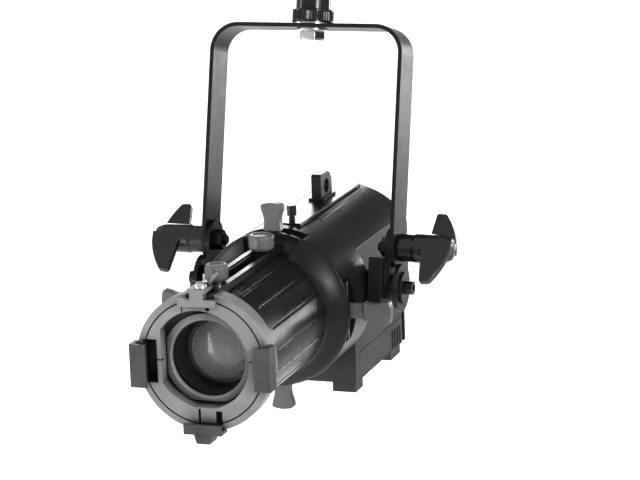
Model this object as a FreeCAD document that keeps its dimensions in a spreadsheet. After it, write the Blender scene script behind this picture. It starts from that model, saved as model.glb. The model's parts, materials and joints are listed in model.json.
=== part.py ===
import math
import os
import re

import FreeCAD
import Part
import Sketcher

# Small LED profile spotlight hung from a pipe clamp by a U-shaped yoke.
#
# Three frames are used, all with +X to the side, -Y to the front and +Z up:
#   clamp  origin on the pipe's axis, which runs along X
#   pivot  origin on the T-knobs' axis, straight below the clamp
#   head   origin on the lamp's optical axis beside the pivot bolts; -Y runs along the
#          optical axis towards the lens, and the frame is pitched nose-down by head_tilt
# Distances ahead of the head's origin are written as "ahead", heights as Z in the head frame.

doc = FreeCAD.newDocument("ProfileSpotlight")
sheet = doc.addObject("Spreadsheet::Sheet", "Sheet")

DIMENSIONS = [
    # pipe clamp
    ("pipe_radius", 25, "seat for a pipe of 48 to 50 mm"),
    ("hook_wall", 8, "thickness of the hook"),
    ("hook_width", 32, "hook along the pipe"),
    ("hook_base", 67, "pipe's axis down to the underside of the foot"),
    ("hook_front", 15, "front of the foot, ahead of the pipe's axis"),
    ("hook_tip", 8.5, "tip of the hook, below the pipe's axis"),
    ("spigot_radius", 12.8, "round neck below the hook"),
    ("spigot_length", 20, "neck between foot and collar"),
    ("collar_radius", 15.4, "ribbed locking collar"),
    ("collar_height", 10, "locking collar"),
    ("clamp_screw_radius", 5, "pipe-locking screw"),
    ("clamp_screw_angle", 30, "screw below the horizontal, behind the hook, degrees"),
    # yoke
    ("strap_width", 30, "flat bar of the yoke"),
    ("strap_thickness", 3, "flat bar of the yoke"),
    ("yoke_width", 148.5, "over the outsides of both arms"),
    ("yoke_height", 161, "T-knob axis to the top of the bar"),
    ("yoke_corner", 21, "outside bend radius"),
    ("pan_gap", 1, "fibre washer on the bar"),
    ("main_bolt_radius", 5, "M10 pan bolt"),
    ("main_bolt_flats", 17, "across flats"),
    ("main_bolt_head", 6.4, "head height"),
    ("flange_radius", 11.5, "plated washer under the bar"),
    ("flange_thickness", 2.2, "plated washer under the bar"),
    ("running_gap", 0.05, "radial clearance of a pin in its hole"),
    ("face_gap", 0.1, "clearance between faces that turn on each other"),
    # T-knobs
    ("knob_hub_radius", 10.3, "moulded hub"),
    ("knob_hub_end", 94, "where the wings start, from the centre plane"),
    ("knob_end", 116, "outer face, from the centre plane"),
    ("knob_reach", 32, "axis to wing tip"),
    ("knob_wing", 5.5, "wing thickness"),
    ("knob_turn", 63, "wings above the horizontal at rest, degrees"),
    ("stud_radius", 4, "M8 stud"),
    # hinge brackets
    ("pivot_drop", 29, "T-knob axis down to the pivot bolt"),
    ("plate_thickness", 3.3, "bracket plate"),
    ("block_inner", 57.6, "inner end of the bracket block"),
    ("block_top", 8, "top of the bracket block, below the T-knob axis"),
    ("block_height", 38, "bracket block"),
    ("disc_radius", 17.5, "outer disc of the bracket"),
    ("disc_inner", 75.3, "inner face of the outer disc"),
    ("disc_outer", 78.6, "outer face of the outer disc"),
    ("pivot_bolt_radius", 3, "M6 cap screw"),
    ("pivot_head_radius", 5, "M6 cap screw"),
    ("pivot_washer_radius", 11.6, "washer under the cap screw"),
    # head: place and lens tube
    ("head_tilt", 14.5, "nose-down pitch of the head at rest, degrees"),
    ("axis_drop", 5, "pivot bolts down to the optical axis, square to it"),
    ("tube_radius", 44, "outside of the lens tube"),
    ("tube_bore", 40, "inside of the lens tube"),
    ("tube_rear", 57.6, "rear end of the tube, ahead"),
    ("tube_front", 183, "front end of the tube, ahead"),
    ("flute_radius", 2, "cutter of the grooves along the tube"),
    ("flute_lift", 1.3, "cutter's centre outside the tube's surface"),
    ("flute_turn", 5, "first groove above the horizontal, degrees"),
    ("flute_rear", 70, "flutes start, ahead"),
    ("flute_front", 171, "flutes end, ahead"),
    ("slot_width", 8, "focus slot on top of the tube"),
    ("slot_rear", 66, "focus slot, ahead"),
    ("slot_front", 181, "focus slot, ahead"),
    ("rail_top", 48, "top of the slot's rails"),
    # front ring
    ("ring_radius", 48, "accessory holder"),
    ("ring_face", 199, "front face of the holder, ahead"),
    ("ring_flange", 28.2, "flange the bezel rests on, inner radius"),
    ("bezel_radius", 32, "bezel around the lens opening"),
    ("bezel_bore", 26.5, "lens opening"),
    ("bezel_face", 190, "front face of the bezel, ahead"),
    ("frame_gap", 5.6, "channel for a colour-filter frame"),
    ("lip_thickness", 2, "lip that keeps the frame in"),
    ("lip_inner", 38.5, "lip's inner edge, from the centre plane"),
    ("clip_outer", 50, "outside of the side clips"),
    ("clip_height", 30, "side clips"),
    ("bottom_clip_width", 27, "bottom clip and top latch"),
    # lens carriages
    ("lens_radius", 20.4, "clear radius of both lenses"),
    ("carrier_radius", 39.5, "carriage inside the tube"),
    ("front_lens_at", 167, "front thumb-screw, ahead"),
    ("rear_lens_at", 79, "rear thumb-screw, ahead"),
    ("front_knob_radius", 8, "front thumb-screw head"),
    ("rear_knob_radius", 9, "rear thumb-screw head"),
    ("screw_knob_height", 11.4, "thumb-screw head"),
    # gate and shutters
    ("gate_radius", 56.5, "gate housing and top of the rear housing"),
    ("gate_rear", 6, "rear end of the gate, ahead"),
    ("gate_front", 59, "front end of the gate, ahead"),
    ("gate_wall", 5, "shell of the gate"),
    ("flare", 9, "hollow curve from the gate down to the tube"),
    ("window_rear", 43, "shutter windows, ahead"),
    ("window_front", 56, "shutter windows, ahead"),
    ("window_width", 46, "shutter windows"),
    ("blade_width", 42, "shutter blade"),
    ("blade_thickness", 1.2, "shutter blade"),
    ("blade_pitch", 2.5, "one blade to the next, along the axis"),
    ("blade_first", 46, "rearmost blade, ahead"),
    ("paddle_tip", 77.4, "axis to the end of a handle pushed home"),
    ("paddle_length", 20.2, "wide part of a handle"),
    ("paddle_width", 16.5, "wide part of a handle"),
    ("paddle_thickness", 7, "handle"),
    ("aperture_radius", 24, "gate aperture"),
    # rear housing and driver box
    ("rear_end", 118, "rear end of the housing, behind"),
    ("flank", 45.5, "half-width of the housing"),
    ("shell", 3, "wall of the housing and the box"),
    ("box_half", 41.5, "half-width of the driver box"),
    ("box_top", 22, "top of the driver box, below the axis"),
    ("box_bottom", 69, "bottom of the driver box, below the axis"),
    ("box_front", 3, "front of the driver box, ahead"),
    ("box_rear", 113, "rear of the driver box, behind"),
    ("foot_height", 7, "feet under the box"),
    ("strip_half", 13, "half-width of the top strip"),
    ("strip_top", 57.3, "top face of the strip"),
    ("strip_rear", 108, "rear end of the strip, behind"),
    ("strip_front", 32, "front end of the strip, ahead"),
    ("eye_thickness", 7.6, "safety eyelet"),
    ("eye_top", 77, "top of the eyelet"),
    ("eye_front", 42, "front edge of the eyelet, behind"),
    ("eye_length", 25, "eyelet along the housing"),
    ("eye_hole", 5.5, "radius of the eyelet's hole"),
]

for row, (alias, value, note) in enumerate(DIMENSIONS, start=1):
    sheet.set("A%d" % row, alias)
    sheet.set("B%d" % row, str(value))
    sheet.set("C%d" % row, note)
    sheet.setAlias("B%d" % row, alias)
doc.recompute()

ALIASES = {alias for alias, value, note in DIMENSIONS}

# Derived places, as expressions in the sheet's aliases.
BAR_TOP = "-(hook_base + spigot_length + collar_height + pan_gap)"
PIVOT_Z = "(%s - yoke_height)" % BAR_TOP
HEAD_Y = "(axis_drop * sin(head_tilt * 1deg))"
HEAD_Z = "(%s - pivot_drop - axis_drop * cos(head_tilt * 1deg))" % PIVOT_Z
ARM_OUTER = "(yoke_width / 2)"
ARM_INNER = "(yoke_width / 2 - strap_thickness)"

X_AXIS = FreeCAD.Vector(1, 0, 0)
Y_AXIS = FreeCAD.Vector(0, 1, 0)
Z_AXIS = FreeCAD.Vector(0, 0, 1)
CYLINDER_TURN = {
    "x": FreeCAD.Rotation(Y_AXIS, 90),
    "y": FreeCAD.Rotation(X_AXIS, -90),
    "z": FreeCAD.Rotation(),
}

nodes = []


# ---------------------------------------------------------------- helpers

def expression(text):
    """Point every sheet alias in the text at its cell."""
    return re.sub(r"[a-z_]+", lambda m: "Sheet." + m.group() if m.group() in ALIASES else m.group(),
                  str(text))


def number(text):
    """Value of an expression now, for a first placement of sketch geometry."""
    return float(sheet.evalExpression(expression(text)))


def bind(feature, path, text):
    feature.setExpression(path, expression(text))


def place(feature, x="0", y="0", z="0", rotation=None):
    """Put a feature at a point given by expressions, with an optional fixed rotation."""
    feature.Placement = FreeCAD.Placement(FreeCAD.Vector(), rotation or FreeCAD.Rotation())
    bind(feature, "Placement.Base.x", x)
    bind(feature, "Placement.Base.y", y)
    bind(feature, "Placement.Base.z", z)


def box(name, x, y, z):
    """Box between a low and a high expression on each axis."""
    feature = doc.addObject("Part::Box", name)
    bind(feature, "Length", "(%s) - (%s)" % (x[1], x[0]))
    bind(feature, "Width", "(%s) - (%s)" % (y[1], y[0]))
    bind(feature, "Height", "(%s) - (%s)" % (z[1], z[0]))
    place(feature, x[0], y[0], z[0])
    return feature


def cylinder(name, axis, radius, span, centre=("0", "0")):
    """Cylinder along an axis between two expressions; centre holds its other two coordinates."""
    feature = doc.addObject("Part::Cylinder", name)
    bind(feature, "Radius", radius)
    bind(feature, "Height", "(%s) - (%s)" % (span[1], span[0]))
    point = list(centre)
    point.insert("xyz".index(axis), span[0])
    place(feature, *point, rotation=CYLINDER_TURN[axis])
    return feature


def hexagon(name, axis, flats, span, centre=("0", "0")):
    """Hexagonal prism with the given width across its flats."""
    feature = doc.addObject("Part::Prism", name)
    feature.Polygon = 6
    bind(feature, "Circumradius", "(%s) / sqrt(3)" % flats)
    bind(feature, "Height", "(%s) - (%s)" % (span[1], span[0]))
    point = list(centre)
    point.insert("xyz".index(axis), span[0])
    place(feature, *point, rotation=CYLINDER_TURN[axis])
    return feature


def fuse(name, *shapes):
    feature = doc.addObject("Part::MultiFuse", name)
    feature.Shapes = list(shapes)
    return feature


def cut(name, base, *tools):
    feature = doc.addObject("Part::Cut", name)
    feature.Base = base
    feature.Tool = tools[0] if len(tools) == 1 else fuse(name + "_tools", *tools)
    return feature


def common(name, first, second):
    feature = doc.addObject("Part::MultiCommon", name)
    feature.Shapes = [first, second]
    return feature


def group(name, *shapes):
    """Several separate solids kept as one sub-part."""
    feature = doc.addObject("Part::Compound", name)
    feature.Links = list(shapes)
    return feature


def origin_plane(body, role):
    return next(item for item in body.Origin.OriginFeatures if item.Role == role)


def sketch_on(body, name, plane, offset="0"):
    """Empty sketch on one of the body's own planes, moved along the plane's normal."""
    sketch = body.newObject("Sketcher::SketchObject", name)
    sketch.AttachmentSupport = [(origin_plane(body, plane), "")]
    sketch.MapMode = "FlatFace"
    bind(sketch, "AttachmentOffset.Base.z", offset)
    return sketch


def pin_point(sketch, geometry, point, u, v):
    """Hold a sketch point at two expressions measured from the sketch's origin."""
    across = sketch.addConstraint(Sketcher.Constraint("DistanceX", -1, 1, geometry, point, number(u)))
    up = sketch.addConstraint(Sketcher.Constraint("DistanceY", -1, 1, geometry, point, number(v)))
    bind(sketch, "Constraints[%d]" % across, u)
    bind(sketch, "Constraints[%d]" % up, v)


def draw_outline(sketch, points):
    """Closed polygon through points given as pairs of expressions."""
    corners = [FreeCAD.Vector(number(u), number(v), 0) for u, v in points]
    first = sketch.GeometryCount
    count = len(corners)
    for index in range(count):
        sketch.addGeometry(Part.LineSegment(corners[index], corners[(index + 1) % count]))
    for index in range(count):
        following = first + (index + 1) % count
        sketch.addConstraint(Sketcher.Constraint("Coincident", first + index, 2, following, 1))
    for index, (u, v) in enumerate(points):
        pin_point(sketch, first + index, 1, u, v)


def draw_circle(sketch, radius, u="0", v="0"):
    centre = FreeCAD.Vector(number(u), number(v), 0)
    circle = sketch.addGeometry(Part.Circle(centre, Z_AXIS, number(radius)))
    pin_point(sketch, circle, 3, u, v)
    size = sketch.addConstraint(Sketcher.Constraint("Radius", circle, number(radius)))
    bind(sketch, "Constraints[%d]" % size, radius)


def pad_of(body, name, sketch, length):
    pad = body.newObject("PartDesign::Pad", name)
    pad.Profile = sketch
    bind(pad, "Length", length)
    return pad


def new_body(name):
    return doc.addObject("PartDesign::Body", name)


def extruded(name, plane, points, start, length):
    """Body padded from a polygon, starting at an offset along the plane's normal."""
    body = new_body(name)
    sketch = sketch_on(body, name + "_outline", plane, start)
    draw_outline(sketch, points)
    pad_of(body, name + "_pad", sketch, length)
    return body


def turned(name, points, axis="V_Axis", plane="XY_Plane"):
    """Body of revolution; points are pairs (radius, place along the axis)."""
    body = new_body(name)
    sketch = sketch_on(body, name + "_section", plane)
    draw_outline(sketch, points)
    revolution = body.newObject("PartDesign::Revolution", name + "_turn")
    revolution.Profile = sketch
    revolution.ReferenceAxis = (sketch, [axis])
    revolution.Angle = 360
    return body


def turned_ahead(name, points):
    """Body turned about the optical axis; points are pairs (radius, distance ahead)."""
    return turned(name, [(radius, "-(%s)" % ahead) for radius, ahead in points])


def cut_pocket(body, name, sketch, length):
    """Pocket towards the side opposite to the sketch's normal; it has to remove something."""
    doc.recompute()
    before = body.Shape.Volume
    pocket = body.newObject("PartDesign::Pocket", name)
    pocket.Profile = sketch
    bind(pocket, "Length", length)
    doc.recompute()
    if not body.Shape.Volume < before:
        raise RuntimeError("%s removed nothing" % name)
    return pocket


def along(rear, front):
    """Y span in the head frame between two distances ahead of its origin."""
    return ("-(%s)" % front, "-(%s)" % rear)


def side_span(side, inner, outer):
    """X span of a piece that sits between two distances from the centre plane."""
    if side > 0:
        return (inner, outer)
    return ("-(%s)" % outer, "-(%s)" % inner)


def sub_part(feature, label, frame):
    """Register a finished piece: its label is the node's name, its frame sets the placement."""
    feature.Label = label
    if frame == "pivot":
        place(feature, z=PIVOT_Z)
    if frame == "head":
        place(feature, y=HEAD_Y, z=HEAD_Z, rotation=FreeCAD.Rotation(X_AXIS, number("head_tilt")))
        bind(feature, "Placement.Rotation.Angle", "head_tilt * 1deg")
    nodes.append(feature)


# ---------------------------------------------------------------- pipe clamp

def build_clamp_hook():
    """Hook over the pipe, open at the front, with a boss behind it for the locking screw."""
    wide = ("-hook_width / 2", "hook_width / 2")
    wider = ("-hook_width", "hook_width")
    outer = cylinder("hook_outer", "x", "pipe_radius + hook_wall", wide)
    spine = box("hook_spine", wide, ("0", "pipe_radius + hook_wall"), ("-hook_base", "0"))
    base = box("hook_foot", wide, ("-hook_front", "pipe_radius + hook_wall"),
               ("-hook_base", "-hook_base + hook_wall"))
    seat = cylinder("hook_seat", "x", "pipe_radius", wider)
    # The mouth lets a pipe in from the front, between the hook's tip and the foot.
    mouth = box("hook_mouth", wider, ("-2 * pipe_radius", "pipe_radius"),
                ("-hook_base + hook_wall", "-hook_tip"))
    boss = screw_line(cylinder("hook_boss", "z", "9", ("pipe_radius + 4", "pipe_radius + 17")))
    bar = cut("hook_bar", fuse("hook_block", outer, spine, base), seat, mouth)
    recess = cylinder("hook_pad_recess", "z", "clamp_screw_radius + 3.2",
                      ("pipe_radius - 4", "pipe_radius + 4.2"))
    bore = cylinder("hook_screw_bore", "z", "clamp_screw_radius + running_gap",
                    ("pipe_radius", "3 * pipe_radius"))
    hole = screw_line(fuse("hook_screw_hole", recess, bore))
    bolt_hole = cylinder("hook_bolt_hole", "z", "main_bolt_radius + running_gap",
                         ("-2 * hook_base", "-hook_base + hook_wall + 1"))
    sub_part(cut("clamp_hook", fuse("hook_mass", bar, boss), hole, bolt_hole), "clamp_hook", "clamp")


def screw_line(feature):
    """Turn a piece modelled along +Z from the pipe's axis onto the locking screw's line, back and down."""
    turned_piece = group(feature.Name + "_turned", feature)
    turned_piece.Placement = FreeCAD.Placement(FreeCAD.Vector(), clamp_screw_rotation())
    return turned_piece


def clamp_screw_rotation():
    """Rotation that takes +Z to the locking screw's outward direction."""
    return FreeCAD.Rotation(X_AXIS, -90 - number("clamp_screw_angle"))


def build_clamp_screw():
    """Locking screw with wings, and the swivel pad between it and the pipe."""
    shank = cylinder("lock_shank", "z", "clamp_screw_radius", ("pipe_radius + 3.7", "pipe_radius + 34"))
    hub = cylinder("lock_hub", "z", "clamp_screw_radius + 3", ("pipe_radius + 29", "pipe_radius + 39"))
    wing = box("lock_wing", ("-20", "20"), ("-2.5", "2.5"), ("pipe_radius + 30", "pipe_radius + 38"))
    screw = fuse("clamp_screw", shank, hub, wing)
    disc = cylinder("clamp_pad_disc", "z", "clamp_screw_radius + 2.5",
                    ("pipe_radius + 0.5", "pipe_radius + 3.7"))
    for feature, name in ((screw, "clamp_screw"), (group("clamp_pad", disc), "clamp_pad")):
        sub_part(feature, name, "clamp")
        feature.Placement = FreeCAD.Placement(FreeCAD.Vector(), clamp_screw_rotation())


def build_spigot():
    """Round neck under the hook, with two turned grooves."""
    top = "-hook_base"
    points = [
        ("main_bolt_radius + running_gap", top),
        ("spigot_radius", top),
        ("spigot_radius", "%s - 5" % top),
        ("spigot_radius - 0.8", "%s - 5.6" % top),
        ("spigot_radius - 0.8", "%s - 6.6" % top),
        ("spigot_radius", "%s - 7.2" % top),
        ("spigot_radius", "%s - 11" % top),
        ("spigot_radius - 0.8", "%s - 11.6" % top),
        ("spigot_radius - 0.8", "%s - 12.6" % top),
        ("spigot_radius", "%s - 13.2" % top),
        ("spigot_radius", "%s - spigot_length" % top),
        ("main_bolt_radius + running_gap", "%s - spigot_length" % top),
    ]
    sub_part(turned("clamp_spigot", points, plane="XZ_Plane"), "clamp_spigot", "clamp")


def build_collar():
    """Locking collar with ribs cut round its edge."""
    body = new_body("lock_collar")
    bottom = "%s + pan_gap" % BAR_TOP
    ring = sketch_on(body, "collar_ring", "XY_Plane", bottom)
    draw_circle(ring, "collar_radius")
    draw_circle(ring, "main_bolt_radius + running_gap")
    pad_of(body, "collar_pad", ring, "collar_height")
    groove = sketch_on(body, "collar_groove", "XY_Plane", "%s + collar_height - 1" % bottom)
    draw_circle(groove, "0.8", "collar_radius + 0.2")
    pocket = cut_pocket(body, "collar_rib", groove, "collar_height - 2")
    pattern = body.newObject("PartDesign::PolarPattern", "collar_ribs")
    pattern.Originals = [pocket]
    pattern.Axis = (ring, ["N_Axis"])
    pattern.Angle = 360
    pattern.Occurrences = 24
    body.Tip = pattern
    sub_part(body, "lock_collar", "clamp")


def build_pan_bolt():
    """M10 bolt up through the yoke into the clamp, its flanged washer and a fibre washer."""
    bar_bottom = "%s - strap_thickness" % BAR_TOP
    washer_bottom = "%s - face_gap - flange_thickness" % bar_bottom
    head = hexagon("pan_bolt_head", "z", "main_bolt_flats",
                   ("%s - main_bolt_head" % washer_bottom, washer_bottom))
    shank = cylinder("pan_bolt_shank", "z", "main_bolt_radius", (washer_bottom, "-hook_base + hook_wall"))
    sub_part(fuse("pan_bolt", head, shank), "pan_bolt", "clamp")
    points = [
        ("main_bolt_radius + running_gap", "%s + flange_thickness" % washer_bottom),
        ("flange_radius", "%s + flange_thickness" % washer_bottom),
        ("flange_radius", "%s + 1.2" % washer_bottom),
        ("flange_radius - 2.4", washer_bottom),
        ("main_bolt_radius + running_gap", washer_bottom),
    ]
    flange = turned("flange_washer", points, plane="XZ_Plane")
    fibre = cylinder("pan_washer_disc", "z", "collar_radius - 1",
                     ("%s + face_gap" % BAR_TOP, "%s + pan_gap" % BAR_TOP))
    bore = cylinder("pan_washer_bore", "z", "main_bolt_radius + running_gap",
                    (BAR_TOP, "%s + 2 * pan_gap" % BAR_TOP))
    sub_part(group("pan_washers", flange, cut("fibre_washer", fibre, bore)), "pan_washers", "clamp")


# ---------------------------------------------------------------- yoke and T-knobs

def build_yoke():
    """Flat bar bent to a U, with rounded arm ends and three holes."""
    body = new_body("yoke")
    inner_corner = "yoke_corner - strap_thickness"
    outline = sketch_on(body, "yoke_outline", "XZ_Plane", "-strap_width / 2")
    end = "-strap_width / 2"
    draw_outline(outline, [
        ("-%s" % ARM_OUTER, end),
        ("-%s" % ARM_OUTER, "yoke_height"),
        (ARM_OUTER, "yoke_height"),
        (ARM_OUTER, end),
        (ARM_INNER, end),
        (ARM_INNER, "yoke_height - strap_thickness"),
        ("-%s" % ARM_INNER, "yoke_height - strap_thickness"),
        ("-%s" % ARM_INNER, end),
    ])
    pad_of(body, "yoke_pad", outline, "strap_width")
    doc.recompute()
    bend_edges(body, "yoke_outer_bend", ARM_OUTER, "yoke_height", "yoke_corner")
    bend_edges(body, "yoke_inner_bend", ARM_INNER, "yoke_height - strap_thickness", inner_corner)
    hole = sketch_on(body, "yoke_top_hole", "XY_Plane", "yoke_height + 1")
    draw_circle(hole, "main_bolt_radius + running_gap")
    cut_pocket(body, "yoke_top_pocket", hole, "strap_thickness + 2")
    arm_holes = sketch_on(body, "yoke_arm_holes", "YZ_Plane", "yoke_width")
    draw_circle(arm_holes, "stud_radius + running_gap")
    cut_pocket(body, "yoke_arm_pocket", arm_holes, "2 * yoke_width")
    ends = sketch_on(body, "yoke_end_rounding", "YZ_Plane", "yoke_width")
    draw_end_rounding(ends)
    cut_pocket(body, "yoke_end_pocket", ends, "2 * yoke_width")
    sub_part(body, "yoke", "pivot")


def bend_edges(body, name, x, z, radius):
    """Fillet the pair of edges that run along Y at plus and minus x, height z."""
    chosen = []
    for index, edge in enumerate(body.Shape.Edges, start=1):
        middle = edge.CenterOfMass
        near_x = abs(abs(middle.x) - number(x)) < 0.01
        near_z = abs(middle.z - number(z)) < 0.01
        if near_x and near_z and abs(edge.BoundBox.YLength - number("strap_width")) < 0.01:
            chosen.append("Edge%d" % index)
    sharp = body.Tip
    fillet = body.newObject("PartDesign::Fillet", name)
    fillet.Base = (sharp, chosen)
    bind(fillet, "Radius", radius)
    doc.recompute()


def draw_end_rounding(sketch):
    """Region below a half circle about the T-knob axis, which rounds the arm ends."""
    radius = number("strap_width / 2")
    low = radius + 5
    centre = FreeCAD.Vector()
    arc = sketch.addGeometry(Part.ArcOfCircle(Part.Circle(centre, Z_AXIS, radius), -math.pi, 0))
    left_top = FreeCAD.Vector(-radius, 0, 0)
    left_low = FreeCAD.Vector(-radius, -low, 0)
    right_low = FreeCAD.Vector(radius, -low, 0)
    right_top = FreeCAD.Vector(radius, 0, 0)
    left = sketch.addGeometry(Part.LineSegment(left_top, left_low))
    bottom = sketch.addGeometry(Part.LineSegment(left_low, right_low))
    right = sketch.addGeometry(Part.LineSegment(right_low, right_top))
    sketch.addConstraint(Sketcher.Constraint("Coincident", arc, 1, left, 1))
    sketch.addConstraint(Sketcher.Constraint("Coincident", left, 2, bottom, 1))
    sketch.addConstraint(Sketcher.Constraint("Coincident", bottom, 2, right, 1))
    sketch.addConstraint(Sketcher.Constraint("Coincident", right, 2, arc, 2))
    sketch.addConstraint(Sketcher.Constraint("Coincident", arc, 3, -1, 1))
    size = sketch.addConstraint(Sketcher.Constraint("Radius", arc, radius))
    bind(sketch, "Constraints[%d]" % size, "strap_width / 2")
    sketch.addConstraint(Sketcher.Constraint("Vertical", left))
    sketch.addConstraint(Sketcher.Constraint("Vertical", right))
    sketch.addConstraint(Sketcher.Constraint("Horizontal", bottom))
    sketch.addConstraint(Sketcher.Constraint("PointOnObject", arc, 1, -1))
    sketch.addConstraint(Sketcher.Constraint("PointOnObject", arc, 2, -1))
    depth = sketch.addConstraint(Sketcher.Constraint("DistanceY", -1, 1, bottom, 1, -low))
    bind(sketch, "Constraints[%d]" % depth, "-(strap_width / 2 + 5)")


def build_knob(side, label):
    """T-knob: a hub with two wings that leave it on opposite sides, and its stud."""
    hub_start = "%s + face_gap" % ARM_OUTER
    hub = cylinder(label + "_hub", "x", "knob_hub_radius", side_span(side, hub_start, "knob_end"))
    step = cylinder(label + "_step", "x", "knob_hub_radius + 0.5",
                    side_span(side, "knob_hub_end - 7.5", "knob_hub_end"))
    offset = "knob_hub_radius - knob_wing"
    depth = side_span(side, "knob_hub_end", "knob_end")
    upper = box(label + "_upper_wing", depth, ("0", "knob_reach"),
                ("-(%s + knob_wing)" % offset, "-(%s)" % offset))
    lower = box(label + "_lower_wing", depth, ("-knob_reach", "0"), (offset, "%s + knob_wing" % offset))
    wings = fuse(label + "_wings", upper, lower)
    wings.Placement = FreeCAD.Placement(FreeCAD.Vector(), FreeCAD.Rotation(X_AXIS, number("knob_turn")))
    bind(wings, "Placement.Rotation.Angle", "knob_turn * 1deg")
    bore = cylinder(label + "_bore", "x", "stud_radius", side_span(side, hub_start, "knob_end - 12"))
    knob = cut(label, fuse(label + "_solid", hub, step, wings), bore)
    sub_part(knob, label, "pivot")
    stud = cylinder(label + "_rod", "x", "stud_radius",
                    side_span(side, "%s - plate_thickness - 8" % ARM_INNER, "knob_end - 12"))
    thread = cylinder(label + "_stud_tip", "x", "stud_radius - 0.7",
                      side_span(side, "%s - plate_thickness - 9" % ARM_INNER,
                                "%s - plate_thickness - 8" % ARM_INNER))
    sub_part(fuse(label + "_stud", stud, thread), label + "_stud", "pivot")


# ---------------------------------------------------------------- hinge brackets

def build_bracket(side, label):
    """Cast bracket: plate inside the strap, block beside the lamp, disc outside on the pivot bolt."""
    plate_span = side_span(side, "%s - face_gap - plate_thickness" % ARM_INNER, "%s - face_gap" % ARM_INNER)
    plate = cylinder(label + "_eye", "x", "strap_width / 2", plate_span)
    web = box(label + "_web", plate_span, ("-11", "11"), ("-pivot_drop", "0"))
    block_span = side_span(side, "block_inner", "%s - face_gap - plate_thickness" % ARM_INNER)
    block = box(label + "_block", block_span, ("-19", "15"), ("-block_top - block_height", "-block_top"))
    neck = cylinder(label + "_neck", "x", "9.5", side_span(side, "%s - 6" % ARM_INNER, "disc_inner"),
                    ("0", "-pivot_drop"))
    disc = cylinder(label + "_disc", "x", "disc_radius", side_span(side, "disc_inner", "disc_outer"),
                    ("0", "-pivot_drop"))
    through = side_span(side, "block_inner - 5", "disc_outer + 5")
    bolt_hole = cylinder(label + "_bolt_hole", "x", "pivot_bolt_radius + running_gap", through,
                         ("0", "-pivot_drop"))
    stud_hole = cylinder(label + "_stud_hole", "x", "stud_radius + running_gap", through)
    bracket = cut(label, fuse(label + "_mass", plate, web, block, neck, disc), bolt_hole, stud_hole)
    sub_part(bracket, label, "pivot")


def build_bracket_hardware():
    """Nuts on the T-knobs' studs, and the cap screws and washers of the lower pivot."""
    fasteners = []
    washers = []
    pivot = ("0", "-pivot_drop")
    inner_face = "%s - face_gap - plate_thickness" % ARM_INNER
    for side, tag in ((1, "right"), (-1, "left")):
        nut_span = side_span(side, "%s - 6" % inner_face, inner_face)
        nut = hexagon("nut_" + tag, "x", "13", nut_span)
        hole = cylinder("nut_hole_" + tag, "x", "stud_radius + running_gap", nut_span)
        fasteners.append(cut("stud_nut_" + tag, nut, hole))

        washer_span = side_span(side, "disc_outer + face_gap", "disc_outer + 2")
        washer = cylinder("washer_" + tag, "x", "pivot_washer_radius", washer_span, pivot)
        bore = cylinder("washer_bore_" + tag, "x", "pivot_bolt_radius + running_gap", washer_span, pivot)
        washers.append(cut("pivot_washer_" + tag, washer, bore))

        head = cylinder("screw_head_" + tag, "x", "pivot_head_radius",
                        side_span(side, "disc_outer + 2", "disc_outer + 8"), pivot)
        shank = cylinder("screw_shank_" + tag, "x", "pivot_bolt_radius",
                         side_span(side, "flank + 1", "disc_outer + 2"), pivot)
        socket = hexagon("screw_socket_" + tag, "x", "5",
                         side_span(side, "disc_outer + 5", "disc_outer + 9"), pivot)
        fasteners.append(cut("pivot_screw_" + tag, fuse("screw_mass_" + tag, head, shank), socket))
    sub_part(group("pivot_fasteners", *fasteners), "pivot_fasteners", "pivot")
    sub_part(group("pivot_washers", *washers), "pivot_washers", "pivot")


# ---------------------------------------------------------------- lens tube and front ring

def build_lens_tube():
    """Cast tube with flutes along it and a focus slot on top."""
    body = turned_ahead("lens_tube", [
        ("tube_bore", "tube_rear"),
        ("tube_radius + 3", "tube_rear"),
        ("tube_radius + 3", "tube_rear + 3.9"),
        ("tube_radius", "tube_rear + 9"),
        ("tube_radius", "tube_front"),
        ("tube_bore", "tube_front"),
    ])
    flute = sketch_on(body, "flute_section", "XZ_Plane", "flute_front")
    draw_circle(flute, "flute_radius", "(tube_radius + flute_lift) * cos(flute_turn * 1deg)",
                "(tube_radius + flute_lift) * sin(flute_turn * 1deg)")
    pocket = cut_pocket(body, "flute", flute, "flute_front - flute_rear")
    pattern = body.newObject("PartDesign::PolarPattern", "flutes")
    pattern.Originals = [pocket]
    pattern.Axis = (origin_axis(body, "Y_Axis"), [""])
    pattern.Angle = 360
    pattern.Occurrences = 18
    body.Tip = pattern
    slot = sketch_on(body, "focus_slot", "XY_Plane", "rail_top + 5")
    draw_outline(slot, [
        ("-strip_half + 3", "-(slot_rear - 4)"),
        ("strip_half - 3", "-(slot_rear - 4)"),
        ("strip_half - 3", "-tube_front - 1"),
        ("-strip_half + 3", "-tube_front - 1"),
    ])
    cut_pocket(body, "focus_slot_pocket", slot, "rail_top - 25")
    sub_part(body, "lens_tube", "head")


def origin_axis(body, role):
    return next(item for item in body.Origin.OriginFeatures if item.Role == role)


def build_slot_rails():
    """Raised frame around the focus slot, let into the top of the tube."""
    plate = box("rail_plate", ("-9.6", "9.6"), along("slot_rear - 3.6", "tube_front - 0.2"),
                ("39.4", "rail_top"))
    trim = cylinder("rail_bore", "y", "tube_bore", along("tube_rear", "tube_front + 5"))
    slot = box("rail_slot", ("-slot_width / 2", "slot_width / 2"), along("slot_rear", "slot_front"),
               ("30", "60"))
    ledge = box("rail_ledge", ("-5.6", "5.6"), along("slot_rear - 1.6", "slot_front + 0.6"),
                ("rail_top - 1", "60"))
    sub_part(cut("slot_rails", plate, trim, slot, ledge), "slot_rails", "head")


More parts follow.
